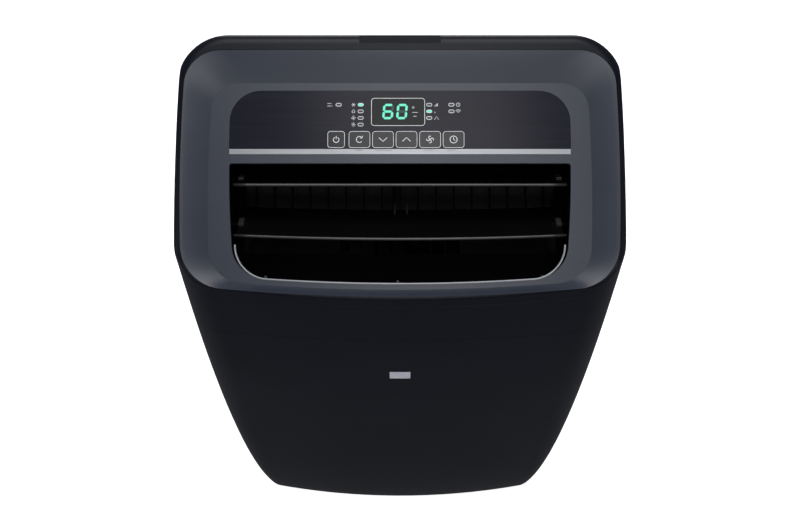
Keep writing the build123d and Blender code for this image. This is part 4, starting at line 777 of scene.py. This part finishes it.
flat_half = MOUTH_HALF - CORNER
front = [(x, mouth_front(x)) for x in [-flat_half + 2 * flat_half * i / 30 for i in range(31)]]
corner_run = mouth_front(flat_half) - CORNER
turns = [pi / 2 * i / 14 for i in range(1, 15)]
right = [(flat_half + CORNER * sin(turn), corner_run + CORNER * cos(turn)) for turn in turns]
left = [(-x, run) for x, run in reversed(right)]
lip_path = [deck(x, run + LIP_OUT, LIP_LIFT) for x, run in left + front + right]
lip = tube_mesh("outlet_lip", lip_path, LIP_RADIUS * MM, 10)
# Light grey on the rolled lip: painted highlight.
moulded("lip_painted_highlight", (0.24, 0.25, 0.28), (0.30, 0.31, 0.34), (0.18, 0.26), specular=0.6, cloud=0.05)
finished(lip, "lip_painted_highlight", "casing")
catch_spots = [deck(x, mouth_front(x) - CATCH_INSET, CATCH_LIFT) for x in CATCH_SPOTS]
catches = blocks("lip_catches", catch_spots, (ACROSS, DOWN_DECK, OUT_OF_DECK), CATCH_SIZE, 0.3)
finished(catches, "clip_grey", "casing")

# %% [markdown]
# ## Filter nets and screw crosses
#
# Behind each rear grille a filter holds a woven net. The node tree lays two sets of threads at an even
# pitch and gives them a round section. The net lies on the filter's web, and slides out with it.

# %% A woven net
THREAD_SIDES = 5
NET_PITCH = 3.0
THREAD = 0.32
NET_MARGIN = 8
WEB_THICK = 2.6
WEB_LIFT = 1.05


def sum_node(tree, work, first, second):
    """One sum inside a tree. Each term is a value or an output socket."""
    node = tree.nodes.new("ShaderNodeMath")
    node.operation = work
    for socket, term in zip(node.inputs, (first, second)):
        if isinstance(term, bpy.types.NodeSocket):
            tree.links.new(term, socket)
        else:
            socket.default_value = term
    return node.outputs[0]


def net_tree():
    """Crossing threads over a rectangle centred on the origin."""
    names = ("Width", "Length", "Pitch", "Thread")
    tree = new_tree("filter_net", [(title, "NodeSocketFloat") for title in names])
    given = tree.nodes.new("NodeGroupInput")
    joined = tree.nodes.new("GeometryNodeJoinGeometry")
    for along, over in (("Width", "Length"), ("Length", "Width")):
        half = sum_node(tree, "MULTIPLY", given.outputs[along], 0.5)
        back = sum_node(tree, "MULTIPLY", half, -1.0)
        count = sum_node(tree, "DIVIDE", given.outputs[over], given.outputs["Pitch"])
        start = sum_node(tree, "MULTIPLY", given.outputs[over], -0.5)
        own, other = ("X", "Y") if along == "Width" else ("Y", "X")
        end_a = add_node(tree, "ShaderNodeCombineXYZ", **{own: back})
        end_b = add_node(tree, "ShaderNodeCombineXYZ", **{own: half})
        thread = add_node(tree, "GeometryNodeCurvePrimitiveLine", Start=end_a.outputs[0],
                          End=end_b.outputs[0])
        first = add_node(tree, "ShaderNodeCombineXYZ", **{other: start})
        step = add_node(tree, "ShaderNodeCombineXYZ", **{other: given.outputs["Pitch"]})
        line = add_node(tree, "GeometryNodeMeshLine", Count=count, Start_Location=first.outputs[0],
                        Offset=step.outputs[0])
        laid = add_node(tree, "GeometryNodeInstanceOnPoints", Points=line.outputs[0],
                        Instance=thread.outputs[0])
        tree.links.new(laid.outputs[0], joined.inputs[0])
    real = add_node(tree, "GeometryNodeRealizeInstances", Geometry=joined.outputs[0])
    section = add_node(tree, "GeometryNodeCurvePrimitiveCircle", Resolution=THREAD_SIDES,
                       Radius=given.outputs["Thread"])
    solid = add_node(tree, "GeometryNodeCurveToMesh", Curve=real.outputs[0],
                     Profile_Curve=section.outputs[0], Fill_Caps=True)
    end_tree(tree, solid.outputs[0], FINISH["net_thread"])
    return tree


moulded("net_thread", (0.060, 0.062, 0.066), (0.085, 0.087, 0.092), (0.45, 0.6), cloud=0.02)
NET = net_tree()
SLOPE_OUT = Vector(JOINTS["upper_cassette_pull"]["axis"]).normalized()
for place, out in (("upper", SLOPE_OUT), ("lower", Vector((0, 1, 0)))):
    low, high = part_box(f"{place}_filter")
    middle = (low + high) / 2
    up = out.cross(ACROSS).normalized()
    if up.z < 0:
        up = -up
    thick = WEB_THICK * MM
    tall = (high.z - low.z - thick * abs(out.z)) / up.z
    turn = Matrix([list(ACROSS), list(up), list(ACROSS.cross(up))]).transposed().to_4x4()
    web = middle - out * (thick / 2 - WEB_LIFT * MM)
    sizes = {"Width": high.x - low.x - NET_MARGIN * MM, "Length": tall - NET_MARGIN * MM,
             "Pitch": NET_PITCH * MM, "Thread": THREAD * MM}
    net = node_piece(f"{place}_net", NET, sizes, Matrix.Translation(web) @ turn)
    finished(net, "net_thread", f"{place}_cassette")

# %% Crosses of the screws, as painted shade in their recesses
SAME_HEIGHT = 1e-5
screw_mesh = bmesh.new()
screw_mesh.from_mesh(frame["nodes"]["case_screws"].data)
bmesh.ops.remove_doubles(screw_mesh, verts=screw_mesh.verts, dist=1e-6)
heads = []
left_over = set(screw_mesh.verts)
while left_over:
    island = [left_over.pop()]
    for vert in island:
        for edge in vert.link_edges:
            other = edge.other_vert(vert)
            if other in left_over:
                left_over.discard(other)
                island.append(other)
    top = max(v.co.y for v in island)
    ring = [v.co for v in island if v.co.y > top - SAME_HEIGHT]
    heads.append(sum(ring, Vector()) / len(ring))
screw_mesh.free()


def cross_tree():
    """Two crossed bars on every given point."""
    tree = new_tree("screw_crosses", [("Points", "NodeSocketObject"), ("Bar", "NodeSocketVector")])
    given = tree.nodes.new("NodeGroupInput")
    points = add_node(tree, "GeometryNodeObjectInfo", Object=given.outputs["Points"])
    bars = tree.nodes.new("GeometryNodeJoinGeometry")
    for turn in (0, pi / 2):
        bar = add_node(tree, "GeometryNodeMeshCube", Size=given.outputs["Bar"])
        turned = add_node(tree, "GeometryNodeTransform", Geometry=bar.outputs[0],
                          Rotation=(0, pi / 4 + turn, 0))
        tree.links.new(turned.outputs[0], bars.inputs[0])
    laid = add_node(tree, "GeometryNodeInstanceOnPoints", Points=points.outputs["Geometry"],
                    Instance=bars.outputs[0])
    end_tree(tree, laid.outputs[0], FINISH["duct_black"])
    return tree


spots_mesh = bpy.data.meshes.new("screw_spots")
spots_mesh.from_pydata([tuple(head) for head in heads], [], [])
spots = bpy.data.objects.new("screw_spots", spots_mesh)
bpy.context.scene.collection.objects.link(spots)
# Thin black bars on each head stand in for the shade in the cross recess: painted shade.
CROSS_BAR = Vector((3.6, 0.16, 0.7)) * MM
crosses = node_piece("screw_crosses", cross_tree(), {"Points": spots, "Bar": CROSS_BAR},
                     Matrix.Identity(4))
bpy.data.objects.remove(spots)
finished(crosses, "duct_black", "casing")
print("screws:", len(heads))

# %% [markdown]
# ## Floor, light and camera
#
# The unit stands on a pale floor in a white studio. A large softbox hangs behind and above, and a small
# one stands where the deck mirrors it, so the plateau reads lighter than the wall round it; the wall's
# darker finish adds painted shade to this. Weaker ones light the front and the back, and two strips draw
# a soft edge down the long shells. The dark casing takes nearly all of its shape from what it reflects,
# so the room is dim, and reflections skip the floor.

# %% The floor
moulded("studio_floor", (0.80, 0.80, 0.81), (0.84, 0.84, 0.85), (0.6, 0.8), cloud=0.6)
floor_shader = FINISH["studio_floor"].node_tree.nodes["Principled BSDF"]
floor_shader.inputs["Emission Color"].default_value = (1, 1, 1, 1)
floor_shader.inputs["Emission Strength"].default_value = 0.80
FLOOR_HALF = 6.0
shape = bmesh.new()
bmesh.ops.create_grid(shape, x_segments=8, y_segments=8, size=FLOOR_HALF)
floor = as_piece("studio_floor", shape)
floor.data.materials.append(FINISH["studio_floor"])
floor.visible_glossy = False

# %% The lights
LOOK_AT = Vector((0, -0.079, 0.512))


def softbox(name, place, size, power):
    """A rectangular area light that faces the unit."""
    data = bpy.data.lights.new(name, "AREA")
    data.shape = "RECTANGLE"
    data.size, data.size_y = size
    data.energy = power
    light = bpy.data.objects.new(name, data)
    light.location = place
    light.rotation_euler = (LOOK_AT - Vector(place)).to_track_quat("-Z", "Y").to_euler()
    bpy.context.scene.collection.objects.link(light)


softbox("overhead_box", (0, 0.75, 2.9), (1.6, 1.5), 40)
softbox("deck_box", (0.12, -0.85, 2.9), (0.7, 1.5), 14)
softbox("rear_box", (0, 2.8, 0.7), (1.6, 1.1), 16)
softbox("front_box", (0, -2.8, 2.45), (1.6, 0.9), 13)
softbox("left_strip", (-2.4, -0.9, 0.9), (0.4, 1.8), 15)
softbox("right_strip", (2.4, -0.9, 0.9), (0.4, 1.8), 9)
world = bpy.data.worlds.new("studio")
world.use_nodes = True
world.node_tree.nodes["Background"].inputs["Color"].default_value = (0.96, 0.97, 1.0, 1)
world.node_tree.nodes["Background"].inputs["Strength"].default_value = 0.14
bpy.context.scene.world = world
bpy.context.scene.view_settings.view_transform = "Standard"

# %% The camera
camera_data = bpy.data.cameras.new("camera")
camera_data.lens = 43.3
camera_data.shift_y = -0.0015
camera_data.sensor_width = 36.0
camera = bpy.data.objects.new("camera", camera_data)
camera.location = (0, -0.7656, 1.4998)
camera.rotation_euler = (LOOK_AT - camera.location).to_track_quat("-Z", "Y").to_euler()
bpy.context.scene.collection.objects.link(camera)
bpy.context.scene.camera = camera
